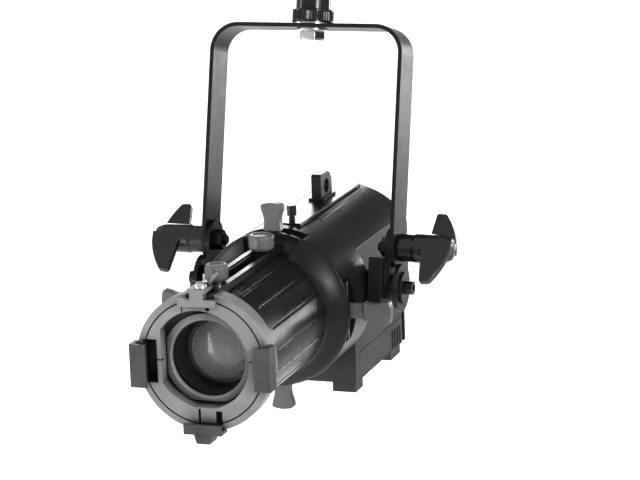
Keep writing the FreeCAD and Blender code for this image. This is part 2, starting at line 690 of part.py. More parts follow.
def build_front_ring():
    """Accessory holder: ring with an opening over the bezel and seats for the clips."""
    body = turned_ahead("ring_turned", [
        ("ring_flange", "bezel_face - 5"),
        ("tube_bore - 0.5", "bezel_face - 5"),
        ("tube_bore - 0.5", "tube_front"),
        ("ring_radius - 3", "tube_front"),
        ("ring_radius", "tube_front + 3"),
        ("ring_radius", "ring_face - 1"),
        ("ring_radius - 1", "ring_face"),
        ("ring_radius - 4.6", "ring_face"),
        ("ring_radius - 4.6", "ring_face - 2.5"),
        ("ring_radius - 5.6", "ring_face - 2.5"),
        ("ring_radius - 5.6", "ring_face"),
        ("ring_flange", "ring_face"),
    ])
    # The opening is two circles side by side with a flat on its left and one below.
    depth = along("bezel_face - 3.5", "ring_face + 1")
    rounds = fuse(
        "ring_mouth_rounds",
        cylinder("ring_mouth", "y", "bezel_radius + 0.3", depth),
        cylinder("ring_mouth_offset", "y", "bezel_radius + 1", depth, ("-2.5", "2.5")),
    )
    limits = box("ring_mouth_limits", ("-30", "60"), depth, ("-31.5", "60"))
    mouth = common("ring_mouth_shape", rounds, limits)
    seat_depth = along("ring_face - 4", "ring_face + 1")
    seats = [
        box("ring_seat_right", ("clip_outer - 4.5", "clip_outer"), seat_depth,
            ("-clip_height / 2 - 1", "clip_height / 2 - 1")),
        box("ring_seat_left", ("-clip_outer", "-(clip_outer - 4.5)"), seat_depth,
            ("-clip_height / 2 - 3", "clip_height / 2 - 3")),
        box("ring_seat_bottom", ("-bottom_clip_width / 2", "bottom_clip_width / 2"), seat_depth,
            ("-ring_radius - 1", "-ring_radius + 3.5")),
        box("ring_seat_top", ("-10", "10"), along("ring_face - 14", "ring_face + 1"),
            ("ring_radius - 4", "ring_radius + 1")),
    ]
    pocket = box("ring_pocket", ("-43", "-33"), along("ring_face - 11", "ring_face + 1"), ("-16", "14"))
    # Narrow slots and index marks cut into the face.
    marks = [
        box("ring_mark_%d" % index, x, along("ring_face - 5", "ring_face + 1"), z)
        for index, (x, z) in enumerate((
            (("7.5", "12"), ("-43", "-33.5")),
            (("-5", "-3.4"), ("-43", "-32.5")),
            (("-33.6", "-29"), ("-0.5", "0.5")),
            (("31", "34.6"), ("1.6", "2.6")),
            (("3.4", "6"), ("35.5", "38")),
            (("-14", "-13.2"), ("31", "37.5")),
        ))
    ]
    sub_part(cut("front_ring", body, mouth, pocket, *marks, *seats), "front_ring", "head")


def build_bezel():
    """Bezel around the lens opening, with a flat on its left side and one below."""
    body = turned_ahead("bezel_turned", [
        ("bezel_bore", "bezel_face - 3.5"),
        ("bezel_radius", "bezel_face - 3.5"),
        ("bezel_radius", "bezel_face - 0.6"),
        ("bezel_radius - 0.6", "bezel_face"),
        ("bezel_bore + 0.8", "bezel_face"),
        ("bezel_bore", "bezel_face - 0.8"),
    ])
    square = box("bezel_square", ("-29.2", "bezel_radius + 1"), along("bezel_face - 8", "bezel_face + 4"),
                 ("-29.2", "bezel_radius + 1"))
    sub_part(common("lens_bezel", body, square), "lens_bezel", "head")


def build_side_clip(side, label, middle):
    """L-shaped clip whose lip holds one edge of a colour-filter frame."""
    lip_front = "ring_face + frame_gap + lip_thickness"
    tall = ("%s - clip_height / 2" % middle, "%s + clip_height / 2" % middle)
    wall = box(label + "_wall", side_span(side, "clip_outer - 4.5", "clip_outer"),
               along("ring_face - 4", lip_front), tall)
    relief = box(label + "_relief", side_span(side, "clip_outer - 6", "clip_outer - 3"),
                 along("ring_face", "ring_face + frame_gap"), ("-40", "40"))
    lip = box(label + "_lip", side_span(side, "lip_inner", "clip_outer - 3"),
              along("ring_face + frame_gap", lip_front), tall)
    sub_part(fuse(label, cut(label + "_shaped_wall", wall, relief), lip), label, "head")


def build_bottom_clip():
    """Bottom clip with a wedge-shaped block under it."""
    lip_front = "ring_face + frame_gap + lip_thickness"
    wide = ("-bottom_clip_width / 2", "bottom_clip_width / 2")
    wall = box("bottom_wall", wide, along("ring_face - 4", lip_front),
               ("-ring_radius - 0.5", "-ring_radius + 3.5"))
    relief = box("bottom_relief", ("-30", "30"), along("ring_face", "ring_face + frame_gap"),
                 ("-ring_radius + 2", "-ring_radius + 9"))
    lip = box("bottom_lip", wide, along("ring_face + frame_gap", lip_front),
              ("-ring_radius + 2", "-ring_radius + 6.5"))
    wedge = extruded("bottom_wedge", "XZ_Plane", [
        ("-6.6", "-ring_radius - 0.5"),
        ("-4.8", "-ring_radius - 7"),
        ("4.8", "-ring_radius - 7"),
        ("6.6", "-ring_radius - 0.5"),
    ], "ring_face - 6", "frame_gap + lip_thickness + 5")
    clip = fuse("clip_bottom", cut("bottom_shaped_wall", wall, relief), lip, wedge)
    sub_part(clip, "clip_bottom", "head")


# Hinge of the top latch, in the head frame.
LATCH_AHEAD = "(ring_face - 11)"
LATCH_Z = "(ring_radius + 2)"


def build_latch():
    """Flip-up latch that keeps the filter frame from lifting out, hinged on a cross pin."""
    lip_front = "ring_face + frame_gap + lip_thickness"
    pin_centre = ("-%s" % LATCH_AHEAD, LATCH_Z)
    base = box("latch_base", ("-10", "10"), along("ring_face - 14", "ring_face - 1"),
               ("ring_radius - 4", "ring_radius - 0.6"))
    ears = []
    for side, tag in ((1, "right"), (-1, "left")):
        span = side_span(side, "6.6", "10")
        ears.append(cylinder("latch_ear_" + tag, "x", "3", span, pin_centre))
        ears.append(box("latch_ear_foot_" + tag, span, along("ring_face - 14", "ring_face - 8"),
                        ("ring_radius - 1", LATCH_Z)))
    ear_holes = cylinder("latch_ear_holes", "x", "1.5", ("-12", "12"), pin_centre)
    sub_part(cut("latch_bracket", fuse("latch_bracket_mass", base, *ears), ear_holes), "latch_bracket",
             "head")
    sub_part(group("latch_pin", cylinder("latch_pin_rod", "x", "1.5", ("-10.6", "10.6"), pin_centre)),
             "latch_pin", "head")

    knuckle = cylinder("latch_knuckle", "x", "2.5", ("-6.4", "6.4"), pin_centre)
    arm = box("latch_arm", ("-6.4", "6.4"), along(LATCH_AHEAD, lip_front),
              ("ring_radius + 1.4", "ring_radius + 4"))
    boss = box("latch_boss", ("-4.6", "5"), along("ring_face + 1.2", lip_front),
               ("ring_radius - 3.2", "ring_radius + 3"))
    lip = box("latch_lip", ("-bottom_clip_width / 2", "bottom_clip_width / 2"),
              along("ring_face + frame_gap", lip_front),
              ("ring_radius - 8", "ring_radius - 3"))
    hole = cylinder("latch_pin_hole", "x", "1.55", ("-12", "12"), pin_centre)
    screw_hole = cylinder("latch_screw_hole", "z", "2", ("ring_radius - 1", "ring_radius + 9"),
                          ("1.4", "-(ring_face + 1.5)"))
    tab = box("latch_tab", ("0", "2.2"), ("0", "8"), ("0", "10.5"))
    tab.Placement = FreeCAD.Placement(FreeCAD.Vector(), FreeCAD.Rotation(Y_AXIS, 35))
    bind(tab, "Placement.Base.x", "2.4")
    bind(tab, "Placement.Base.y", "-(%s + 8)" % LATCH_AHEAD)
    bind(tab, "Placement.Base.z", "%s + 1.4" % LATCH_Z)
    mass = fuse("filter_latch_mass", knuckle, arm, boss, lip, tab)
    sub_part(cut("filter_latch", mass, hole, screw_hole), "filter_latch", "head")

    dome_place = ("1.4", "-(ring_face + 1.5)")
    shank = cylinder("latch_screw_shank", "z", "1.95", ("ring_radius", "ring_radius + 4"), dome_place)
    head = doc.addObject("Part::Sphere", "latch_screw_dome")
    bind(head, "Radius", "4.4")
    place(head, dome_place[0], dome_place[1], "ring_radius + 4")
    keep = cylinder("latch_screw_keep", "z", "7", ("ring_radius + 4", "ring_radius + 12"), dome_place)
    cross = [
        box("latch_screw_cross_a", ("-0.8", "3.6"), ("-(ring_face + 2)", "-(ring_face + 1)"),
            ("ring_radius + 7", "ring_radius + 12")),
        box("latch_screw_cross_b", ("0.9", "1.9"), ("-(ring_face + 3.7)", "-(ring_face - 0.7)"),
            ("ring_radius + 7", "ring_radius + 12")),
    ]
    dome = cut("latch_screw_head", common("latch_screw_cap", head, keep), *cross)
    sub_part(fuse("latch_screw", shank, dome), "latch_screw", "head")


# ---------------------------------------------------------------- lenses

def build_lens_set(label, ahead, sleeve_front, knob_radius, front_bulge, rear_bulge):
    """Carriage that slides in the tube, with its glass and the thumb-screw that locks it."""
    ring = turned_ahead(label + "_ring", [
        ("lens_radius + 1", "%s - 7" % ahead),
        ("carrier_radius", "%s - 7" % ahead),
        ("carrier_radius", "%s + 5" % ahead),
        ("lens_radius + 7", "%s + 5" % ahead),
        ("lens_radius + 7", sleeve_front),
        ("lens_radius + 6", sleeve_front),
        ("lens_radius + 3.4", "%s - 1" % ahead),
        ("lens_radius", "%s - 2" % ahead),
        ("lens_radius", "%s - 3" % ahead),
        ("lens_radius + 1", "%s - 3" % ahead),
    ])
    stud = box(label + "_stud", ("-slot_width / 2 + 0.5", "slot_width / 2 - 0.5"),
               along("%s - 5" % ahead, "%s + 5" % ahead),
               ("38", "rail_top - 0.4"))
    stud_hole = cylinder(label + "_stud_hole", "z", "2.55", ("40", "60"), ("0", "-(%s)" % ahead))
    sub_part(cut(label + "_carriage", fuse(label + "_carriage_mass", ring, stud), stud_hole),
             label + "_carriage", "head")

    # The glass is a cylinder capped by two spherical faces.
    glass = turned_ahead(label + "_glass_blank", [
        ("0", "%s + %s" % (ahead, rear_bulge)),
        ("lens_radius * 0.55", "%s + 0.7 * (%s)" % (ahead, rear_bulge)),
        ("lens_radius + 0.95", "%s - 6.6" % ahead),
        ("lens_radius + 0.95", "%s - 3.05" % ahead),
        ("lens_radius * 0.98", "%s - 3.05" % ahead),
        ("lens_radius * 0.55", "%s + %s - 0.9" % (ahead, front_bulge)),
        ("0", "%s + %s" % (ahead, front_bulge)),
    ])
    sub_part(glass, label, "head")

    knob = cylinder(label + "_knob_head", "z", knob_radius,
                    ("rail_top + 0.6", "rail_top + 0.6 + screw_knob_height"),
                    ("0", "-(%s)" % ahead))
    shank = cylinder(label + "_knob_shank", "z", "2.5", ("41", "rail_top + 1"), ("0", "-(%s)" % ahead))
    sub_part(fuse(label + "_thumb_screw", knob, shank), label + "_thumb_screw", "head")


# ---------------------------------------------------------------- gate and shutters

def build_gate_housing():
    """Gate housing: shell with four windows for the shutters, flaring down to the tube in front."""
    shell = turned_ahead("gate_shell", [
        ("gate_radius - gate_wall", "gate_rear"),
        ("gate_radius", "gate_rear"),
        ("gate_radius", "gate_front - 0.5"),
        ("gate_radius - 2", "gate_front + 1"),
        ("gate_radius - 2", "gate_front + flare"),
        ("tube_radius + 0.3", "gate_front + flare"),
        ("tube_radius + 0.3", "tube_rear + 9"),
        ("tube_radius + 3.2", "tube_rear + 4"),
        ("tube_radius + 3.2", "tube_rear"),
        ("gate_radius - gate_wall", "tube_rear"),
    ])
    hollow = doc.addObject("Part::Torus", "gate_flare")
    bind(hollow, "Radius1", "tube_radius + 1.4 + flare")
    bind(hollow, "Radius2", "flare")
    place(hollow, y="-(gate_front + flare)", rotation=CYLINDER_TURN["y"])
    windows = []
    for tag, x, z in (
        ("top", ("-window_width / 2", "window_width / 2"), ("30", "80")),
        ("bottom", ("-window_width / 2", "window_width / 2"), ("-80", "-30")),
        ("right", ("30", "80"), ("-window_width / 2", "window_width / 2")),
        ("left", ("-80", "-30"), ("-window_width / 2", "window_width / 2")),
    ):
        windows.append(box("window_" + tag, x, along("window_rear", "window_front"), z))
    strip_seat = box("gate_strip_seat", ("-strip_half", "strip_half"),
                     along("gate_rear - 1", "strip_front"), ("55", "60"))
    rail_seat = box("gate_rail_seat", ("-10", "10"), along("tube_rear + 3", "gate_front + 2 * flare"),
                    ("39", "rail_top + 0.4"))
    sub_part(cut("gate_housing", shell, hollow, strip_seat, rail_seat, *windows), "gate_housing", "head")


def build_pivot_bosses():
    """Round bosses on the flanks of the housing that the pivot screws go into."""
    bosses = []
    for side, tag in ((1, "right"), (-1, "left")):
        span = side_span(side, "flank", "block_inner - face_gap")
        boss = cylinder("boss_" + tag, "x", "12.5", span, ("0", "axis_drop"))
        hole = cylinder("boss_hole_" + tag, "x", "pivot_bolt_radius + running_gap", span,
                        ("0", "axis_drop"))
        trim = cylinder("boss_trim_" + tag, "y", "gate_radius", along("gate_rear", "gate_front"))
        bosses.append(cut("pivot_boss_" + tag, boss, hole, trim))
    sub_part(group("pivot_bosses", *bosses), "pivot_bosses", "head")


def build_shutter_frame():
    """Two aperture plates that guide the blades, held apart by four pillars."""
    plates = [
        cylinder("frame_plate_front", "y", "gate_radius - gate_wall - 0.3",
                 along("blade_first + 9.7", "blade_first + 11.3")),
        cylinder("frame_plate_rear", "y", "gate_radius - gate_wall - 0.3",
                 along("blade_first - 4", "blade_first - 2.4")),
    ]
    pillars = [
        cylinder("frame_pillar_%d" % index, "y", "3", along("blade_first - 4", "blade_first + 11"), (x, z))
        for index, (x, z) in enumerate((("30", "30"), ("-30", "30"), ("-30", "-30"), ("30", "-30")))
    ]
    aperture = cylinder("frame_aperture", "y", "aperture_radius",
                        along("blade_first - 10", "blade_first + 20"))
    sub_part(cut("shutter_frame", fuse("shutter_frame_mass", *plates, *pillars), aperture), "shutter_frame",
             "head")


def build_shutter(label, turn, order, drawn):
    """Blade and handle, drawn out by a distance along the direction that turn points to.

    Modelled pointing up, then turned about the optical axis.
    """
    ahead = "(blade_first + %d * blade_pitch)" % order
    thick = along("%s - blade_thickness / 2" % ahead, "%s + blade_thickness / 2" % ahead)
    blade = box(label + "_sheet", ("-blade_width / 2", "blade_width / 2"), thick,
                ("1 + %s" % drawn, "45 + %s" % drawn))
    tongue = box(label + "_tongue", ("-5", "5"), thick, ("44 + %s" % drawn, "paddle_tip - 12 + %s" % drawn))
    paddle = extruded(label + "_paddle", "XZ_Plane", [
        ("-paddle_width * 0.42", "paddle_tip - paddle_length + %s" % drawn),
        ("paddle_width * 0.42", "paddle_tip - paddle_length + %s" % drawn),
        ("paddle_width * 0.34", "paddle_tip - paddle_length * 0.55 + %s" % drawn),
        ("paddle_width * 0.5", "paddle_tip - 4 + %s" % drawn),
        ("paddle_width * 0.34", "paddle_tip - 0.9 + %s" % drawn),
        ("0", "paddle_tip + %s" % drawn),
        ("-paddle_width * 0.34", "paddle_tip - 0.9 + %s" % drawn),
        ("-paddle_width * 0.5", "paddle_tip - 4 + %s" % drawn),
        ("-paddle_width * 0.34", "paddle_tip - paddle_length * 0.55 + %s" % drawn),
    ], "%s - paddle_thickness / 2" % ahead, "paddle_thickness")
    slim = along("%s - 1.7" % ahead, "%s + 1.7" % ahead)
    neck = box(label + "_neck", ("-6", "6"), slim,
               ("46 + %s" % drawn, "paddle_tip - paddle_length + 1 + %s" % drawn))
    blade_space = box(label + "_blade_space", ("-blade_width / 2 - 1", "blade_width / 2 + 1"), thick,
                      ("30", "45 + %s" % drawn))
    slot = box(label + "_slot", ("-5", "5"), thick, ("30", "paddle_tip - 12 + %s" % drawn))
    handle = cut(label + "_handle_upright", fuse(label + "_handle_mass", neck, paddle), slot, blade_space)
    blade = fuse(label + "_blade_upright", blade, tongue)
    for feature, name in ((blade, "_blade"), (handle, "_handle")):
        feature.Placement = FreeCAD.Placement(FreeCAD.Vector(), FreeCAD.Rotation(Y_AXIS, turn))
        sub_part(group(label + name, feature), label + name, "head")


# ---------------------------------------------------------------- rear housing and light engine

def arch_blank(name, inset, rear, front):
    """Solid with the housing's section: an arch with flat flanks, closed below by a flat."""
    round_top = cylinder(name + "_round", "y", "gate_radius - %s" % inset, along(rear, front))
    flanks = box(name + "_flanks", ("-flank + %s" % inset, "flank - %s" % inset), along(rear, front),
                 ("-box_top", "80"))
    arch = common(name + "_arch", round_top, flanks)
    # The arch draws in towards its rear end.
    taper = turned_ahead(name + "_taper", [
        ("0", "-rear_end - 4"),
        ("gate_radius - 5 - %s" % inset, "-rear_end - 4"),
        ("gate_radius - 1.6 - %s" % inset, "-rear_end + 1"),
        ("gate_radius + 1 - %s" % inset, "-rear_end + 9"),
        ("gate_radius + 1 - %s" % inset, "gate_rear + 2"),
        ("0", "gate_rear + 2"),
    ])
    return common(name, arch, taper)


def build_rear_housing():
    outer = arch_blank("rear_outer", "0", "-rear_end", "gate_rear")
    hollow = arch_blank("rear_hollow", "shell", "-rear_end - 1", "gate_rear + 1")
    floor = box("rear_floor_opening", ("-box_half + shell + 1", "box_half - shell - 1"),
                along("-rear_end - 1", "gate_rear + 1"),
                ("-box_top - 1", "0"))
    strip_seat = box("rear_strip_seat", ("-strip_half", "strip_half"),
                     along("-strip_rear", "gate_rear + 1"), ("55", "60"))
    housing = cut("rear_housing", outer, hollow, floor, strip_seat)
    sub_part(housing, "rear_housing", "head")


def build_top_strip():
    """Flat cover strip along the top, with the safety eyelet and a small screw on it."""
    strip = box("strip_plate", ("-strip_half", "strip_half"), along("-strip_rear", "strip_front"),
                ("55", "strip_top"))
    sub_part(group("top_strip", strip), "top_strip", "head")

    eye = extruded("eyelet_body", "YZ_Plane", [
        ("eye_front", "strip_top + 2"),
        ("eye_front", "eye_top - 1.5"),
        ("eye_front + 1.5", "eye_top"),
        ("eye_front + eye_length - 9", "eye_top"),
        ("eye_front + eye_length - 3", "eye_top - 2.4"),
        ("eye_front + eye_length", "eye_top - 8"),
        ("eye_front + eye_length", "strip_top + 2"),
    ], "-eye_thickness / 2", "eye_thickness")
    foot = box("eyelet_foot", ("-6", "6"), ("eye_front - 1", "eye_front + eye_length + 2"),
               ("strip_top", "strip_top + 2"))
    hole = cylinder("eyelet_hole", "x", "eye_hole", ("-20", "20"), ("eye_front + 12.5", "eye_top - 10.5"))
    sub_part(cut("safety_eyelet", fuse("eyelet_mass", eye, foot), hole), "safety_eyelet", "head")


def build_rear_cover():
    """End plate over the housing and the box, with cooling slots and holes for the power parts."""
    arch = arch_blank("cover_arch", "0", "-rear_end - 3", "-rear_end - 0.1")
    lower = box("cover_lower", ("-box_half", "box_half"), along("-rear_end - 3", "-rear_end - 0.1"),
                ("-box_bottom", "-box_top + 1"))
    slots = []
    for row in range(9):
        z = 36 - 7 * row
        half = 30 if row else 22
        slots.append(box("cover_slot_%d" % row, ("-%d" % half, "%d" % half),
                         along("-rear_end - 5", "-rear_end + 2"),
                         ("%d - 1.6" % z, "%d + 1.6" % z)))
    inlet = box("cover_inlet_hole", ("-33.2", "-4.8"), along("-rear_end - 5", "-rear_end + 2"),
                ("-58.2", "-37.8"))
    switch = box("cover_switch_hole", ("8.9", "28.1"), along("-rear_end - 5", "-rear_end + 2"),
                 ("-54.6", "-41.4"))
    sub_part(cut("rear_cover", fuse("cover_mass", arch, lower), inlet, switch, *slots), "rear_cover",
             "head")


def build_housing_screws():
    """Four screws in the rear cover, and the taller one at the front of the top strip."""
    screws = []
    for index, (x, z) in enumerate((("-36", "32"), ("36", "32"), ("-37", "-64"), ("37", "-64"))):
        screws.append(cylinder("cover_screw_%d" % index, "y", "3",
                               along("-rear_end - 4.6", "-rear_end - 3"), (x, z)))
    stem = cylinder("strip_screw_stem", "z", "2.2", ("strip_top", "strip_top + 6"),
                    ("5", "-(strip_front - 4.5)"))
    head = cylinder("strip_screw_head", "z", "3.4", ("strip_top + 5", "strip_top + 12.6"),
                    ("5", "-(strip_front - 4.5)"))
    screws.append(fuse("strip_screw", stem, head))
    sub_part(group("housing_screws", *screws), "housing_screws", "head")


def build_light_engine():
    """What the housing holds: LED board, condenser lens and finned heat sink."""
    base = box("sink_base", ("-34", "34"), along("-24", "-16"), ("-18", "34"))
    fins = [
        box("sink_fin_%d" % index, ("%d - 0.9" % x, "%d + 0.9" % x), along("-74", "-23"), ("-18", "34"))
        for index, x in enumerate(range(-32, 33, 8))
    ]
    sub_part(fuse("heat_sink", base, *fins), "heat_sink", "head")
    board = box("led_board_plate", ("-18", "18"), along("-15.9", "-14"), ("-16", "18"))
    emitter = cylinder("led_emitter", "y", "9", along("-14.5", "-12.6"))
    sub_part(fuse("led_board", board, emitter), "led_board", "head")
    lens = turned_ahead("condenser_lens", [
        ("0", "2"),
        ("21", "2"),
        ("21", "6"),
        ("17", "12"),
        ("9", "17"),
        ("0", "18"),
    ])
    sub_part(lens, "condenser_lens", "head")


def build_fan():
    """Cooling fan: a square frame with a central pin on spokes, and the rotor that turns on it."""
    centre = ("0", "9")
    block = box("fan_block", ("-30", "30"), along("-100", "-76"), ("-20", "38"))
    throat = cylinder("fan_throat", "y", "27", along("-102", "-74"), centre)
    spokes = [
        box("fan_spoke_across", ("-28", "28"), along("-100", "-97.5"), ("7", "11")),
        box("fan_spoke_upright", ("-2", "2"), along("-100", "-97.5"), ("-19", "37")),
    ]
    pin = cylinder("fan_pin", "y", "2", along("-99", "-82"), centre)
    sub_part(fuse("fan_frame", cut("fan_frame_ring", block, throat), pin, *spokes), "fan_frame", "head")

    hub = cylinder("fan_hub", "y", "10", along("-96", "-79"), ("0", "0"))
    blades = []
    for index in range(7):
        pitched = group("fan_blade_%d_pitched" % index,
                        box("fan_blade_%d" % index, ("-0.8", "0.8"), ("-7", "7"), ("8", "25.5")))
        turn = FreeCAD.Rotation(Y_AXIS, index * 360 / 7)
        pitched.Placement = FreeCAD.Placement(FreeCAD.Vector(0, 87.5, 0),
                                              turn.multiply(FreeCAD.Rotation(Z_AXIS, 38)))
        blades.append(pitched)
    bore = cylinder("fan_bore", "y", "2 + running_gap", along("-102", "-81"), ("0", "0"))
    rotor = group("fan_rotor_upright", cut("fan_rotor_turned", fuse("fan_rotor_mass", hub, *blades), bore))
    bind(rotor, "Placement.Base.z", "9")
    sub_part(group("fan_rotor", rotor), "fan_rotor", "head")


def build_driver_box():
    """Open-bottomed box under the housing, with notched lower edges on both sides."""
    outer = box("driver_outer", ("-box_half", "box_half"), along("-box_rear", "box_front"),
                ("-box_bottom", "-box_top - 0.1"))
    hollow = box("driver_hollow", ("-box_half + shell", "box_half - shell"),
                 along("-box_rear - 6", "box_front - shell"),
                 ("-box_bottom - 1", "-box_top + 1"))
    notches = [
        box("driver_notch_%d" % index, ("-60", "60"), along("-(%d + 2)" % place_at, "-%d" % place_at),
            ("-box_bottom - 1", "-box_bottom + 1.6"))
        for index, place_at in enumerate(range(6, 84, 4))
    ]
    fins = [
        box("driver_fin_%s_%d" % (tag, index), side_span(side, "box_half - 0.5", "box_half + 0.7"),
            along("-(%d + 2)" % place_at, "-%d" % place_at), ("-box_bottom + 1", "-box_bottom + 15"))
        for side, tag in ((1, "right"), (-1, "left"))
        for index, place_at in enumerate((88, 94, 100, 106))
    ]
    seam = box("driver_seam", ("-60", "60"), along("-box_rear - 5", "box_front - 10"), ("-48.2", "-47.4"))
    inner = box("driver_seam_core", ("-box_half + 0.7", "box_half - 0.7"),
                along("-box_rear - 6", "box_front - 9"), ("-49", "-47"))
    walls = fuse("driver_walls", cut("driver_shell", outer, hollow, *notches), *fins)
    sub_part(cut("driver_box", walls, cut("driver_seam_cut", seam, inner)), "driver_box", "head")

    floor = box("floor_plate", ("-box_half + shell + 0.2", "box_half - shell - 0.2"),
                along("-box_rear", "box_front - shell - 0.2"),
                ("-box_bottom", "-box_bottom + 2.4"))
    feet = []
    for side, tag in ((1, "right"), (-1, "left")):
        for name, rear, front in (("front", "box_front - 17", "box_front"),
                                  ("rear", "-box_rear + 5", "-box_rear + 29")):
            feet.append(box("foot_%s_%s" % (name, tag),
                            side_span(side, "box_half - 18.5", "box_half - 0.6"), along(rear, front),
                            ("-box_bottom - foot_height", "-box_bottom - 0.05")))
    plugs = [
        box("foot_plug_%s_%s" % (tag, name), side_span(side, "box_half - 16", "box_half - 6"),
            along(rear, front),
            ("-box_bottom - 1", "-box_bottom + 1"))
        for side, tag in ((1, "right"), (-1, "left"))
        for name, rear, front in (("front", "box_front - 14", "box_front - 6"),
                                  ("rear", "-box_rear + 9", "-box_rear + 25"))
    ]
    sub_part(fuse("box_floor", floor, *feet, *plugs), "box_floor", "head")

    board = box("driver_board_sheet", ("-34", "34"), along("-98", "-12"), ("-64", "-62.4"))
    parts = [
        box("driver_transformer", ("-24", "-2"), along("-52", "-26"), ("-62.5", "-42")),
        box("driver_choke", ("8", "26"), along("-44", "-28"), ("-62.5", "-50")),
        cylinder("driver_capacitor", "z", "7", ("-62.5", "-40"), ("12", "66")),
        cylinder("driver_capacitor_small", "z", "5", ("-62.5", "-46"), ("-16", "70")),
    ]
    sub_part(fuse("driver_board", board, *parts), "driver_board", "head")


def build_power_parts():
    """Mains inlet and rocker switch in the rear cover."""
    back = "-rear_end - 3.1"
    flange = box("inlet_flange", ("-36", "-2"), along("%s - 2" % back, back), ("-61", "-35"))
    case = box("inlet_case", ("-33", "-5"), along("-rear_end - 4", "-rear_end + 14"), ("-58", "-38"))
    socket = box("inlet_socket", ("-31", "-7"), along("-rear_end - 8", "-rear_end + 10"), ("-56", "-40"))
    pins = [
        box("inlet_pin_%d" % index, ("%d - 1" % x, "%d + 1" % x), along("-rear_end - 2", "-rear_end + 12"),
            ("-50", "-46"))
        for index, x in enumerate((-26, -19, -12))
    ]
    inlet = fuse("power_inlet", cut("inlet_shell", fuse("inlet_mass", flange, case), socket), *pins)
    sub_part(inlet, "power_inlet", "head")

    bezel = box("switch_bezel", ("6.5", "30.5"), along("%s - 1.6" % back, back), ("-57", "-39"))
    case = box("switch_case", ("9", "28"), along("-rear_end - 4", "-rear_end + 12"), ("-54.5", "-41.5"))
    well = box("switch_well", ("10.5", "26.5"), along("-rear_end - 8", "-rear_end + 8"), ("-53", "-43"))
    pin_place = ("18.5", "rear_end + 1")
    pin_holes = cylinder("switch_pin_holes", "z", "1 + running_gap", ("-54", "-42"), pin_place)
    sub_part(cut("switch_frame", fuse("switch_mass", bezel, case), well, pin_holes), "switch_frame", "head")

    rocker = extruded("rocker_body", "XY_Plane", [
        ("12", "rear_end + 1.5"),
        ("12", "rear_end + 7"),
        ("18.5", "rear_end + 5.8"),
        ("25", "rear_end + 5.2"),
        ("25", "rear_end + 0.5"),
        ("18.5", "rear_end - 3.5"),
    ], "-52.6", "9.2")
    pin = cylinder("rocker_pin", "z", "1", ("-53.8", "-42.2"), pin_place)
    sub_part(fuse("power_switch", rocker, pin), "power_switch", "head")


# ---------------------------------------------------------------- assembly

build_clamp_hook()
build_clamp_screw()
build_spigot()
build_collar()
build_pan_bolt()
build_yoke()
for side, tag in ((1, "right"), (-1, "left")):
    build_knob(side, "knob_" + tag)
    build_bracket(side, "bracket_" + tag)
build_bracket_hardware()
build_lens_tube()
build_slot_rails()
build_front_ring()
build_bezel()
build_side_clip(1, "clip_right", "-1")
build_side_clip(-1, "clip_left", "-3")
build_bottom_clip()
build_latch()
build_lens_set("front_lens", "front_lens_at", "front_lens_at + 16", "front_knob_radius", "3.4", "-9.4")
build_lens_set("rear_lens", "rear_lens_at", "rear_lens_at + 7", "rear_knob_radius", "2.6", "-10.6")
build_gate_housing()
build_pivot_bosses()
build_shutter_frame()
build_shutter("shutter_top", 0, 3, "0")
build_shutter("shutter_right", 90, 2, "8.5")
build_shutter("shutter_left", -90, 1, "12.5")
build_shutter("shutter_bottom", 180, 0, "0")
build_rear_housing()
build_top_strip()
build_rear_cover()
build_housing_screws()
build_light_engine()
build_fan()
build_driver_box()
build_power_parts()

doc.recompute()

for item in doc.Objects:
    if "Invalid" in item.State or "Error" in item.State:
        raise RuntimeError("%s failed to recompute: %s" % (item.Label, item.State))
for feature in nodes:
    if feature.Shape.isNull() or not feature.Shape.isValid() or not feature.Shape.Solids:
        raise RuntimeError("%s has no valid solid" % feature.Label)

os.makedirs("parts", exist_ok=True)
for feature in nodes:
    feature.Shape.exportStep("parts/%s.step" % feature.Label)
print("%d sub-parts written" % len(nodes))
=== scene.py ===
import json
import math

import bmesh
import bpy
from mathutils import Matrix, Vector


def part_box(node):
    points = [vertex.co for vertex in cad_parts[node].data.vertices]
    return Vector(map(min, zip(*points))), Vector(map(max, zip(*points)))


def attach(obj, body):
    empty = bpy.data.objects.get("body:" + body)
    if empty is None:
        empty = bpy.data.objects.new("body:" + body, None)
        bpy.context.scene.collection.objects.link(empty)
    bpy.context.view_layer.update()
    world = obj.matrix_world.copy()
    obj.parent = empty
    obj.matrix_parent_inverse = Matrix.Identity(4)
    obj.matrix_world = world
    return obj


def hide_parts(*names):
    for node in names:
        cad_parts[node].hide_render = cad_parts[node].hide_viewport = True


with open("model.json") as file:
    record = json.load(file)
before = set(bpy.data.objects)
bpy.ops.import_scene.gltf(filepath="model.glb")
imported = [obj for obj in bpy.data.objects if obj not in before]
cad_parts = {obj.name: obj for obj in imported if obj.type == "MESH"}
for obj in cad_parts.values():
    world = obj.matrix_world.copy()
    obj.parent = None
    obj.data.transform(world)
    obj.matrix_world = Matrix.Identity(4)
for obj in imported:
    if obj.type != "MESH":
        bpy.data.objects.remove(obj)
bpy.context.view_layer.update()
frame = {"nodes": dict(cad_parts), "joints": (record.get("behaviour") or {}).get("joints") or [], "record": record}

MM = 0.001
joints = {joint["name"]: joint for joint in frame["joints"]}

# Places and directions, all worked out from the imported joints. PIVOT is the T-knobs' axis.
PIVOT = Vector(joints["tilt"]["pos_m"])
FORWARD = Vector(joints["front_lens_slide"]["axis"]).normalized()
UP = Vector(joints["front_thumb_screw_turn"]["axis"]).normalized()
SIDE = Vector((1, 0, 0))


def axes(x, y, z, origin):
    """Matrix that takes millimetres along three directions, from an origin, to world metres."""
    matrix = Matrix((x, y, z)).transposed().to_4x4() @ Matrix.Scale(MM, 4)
    matrix.translation = origin
    return matrix


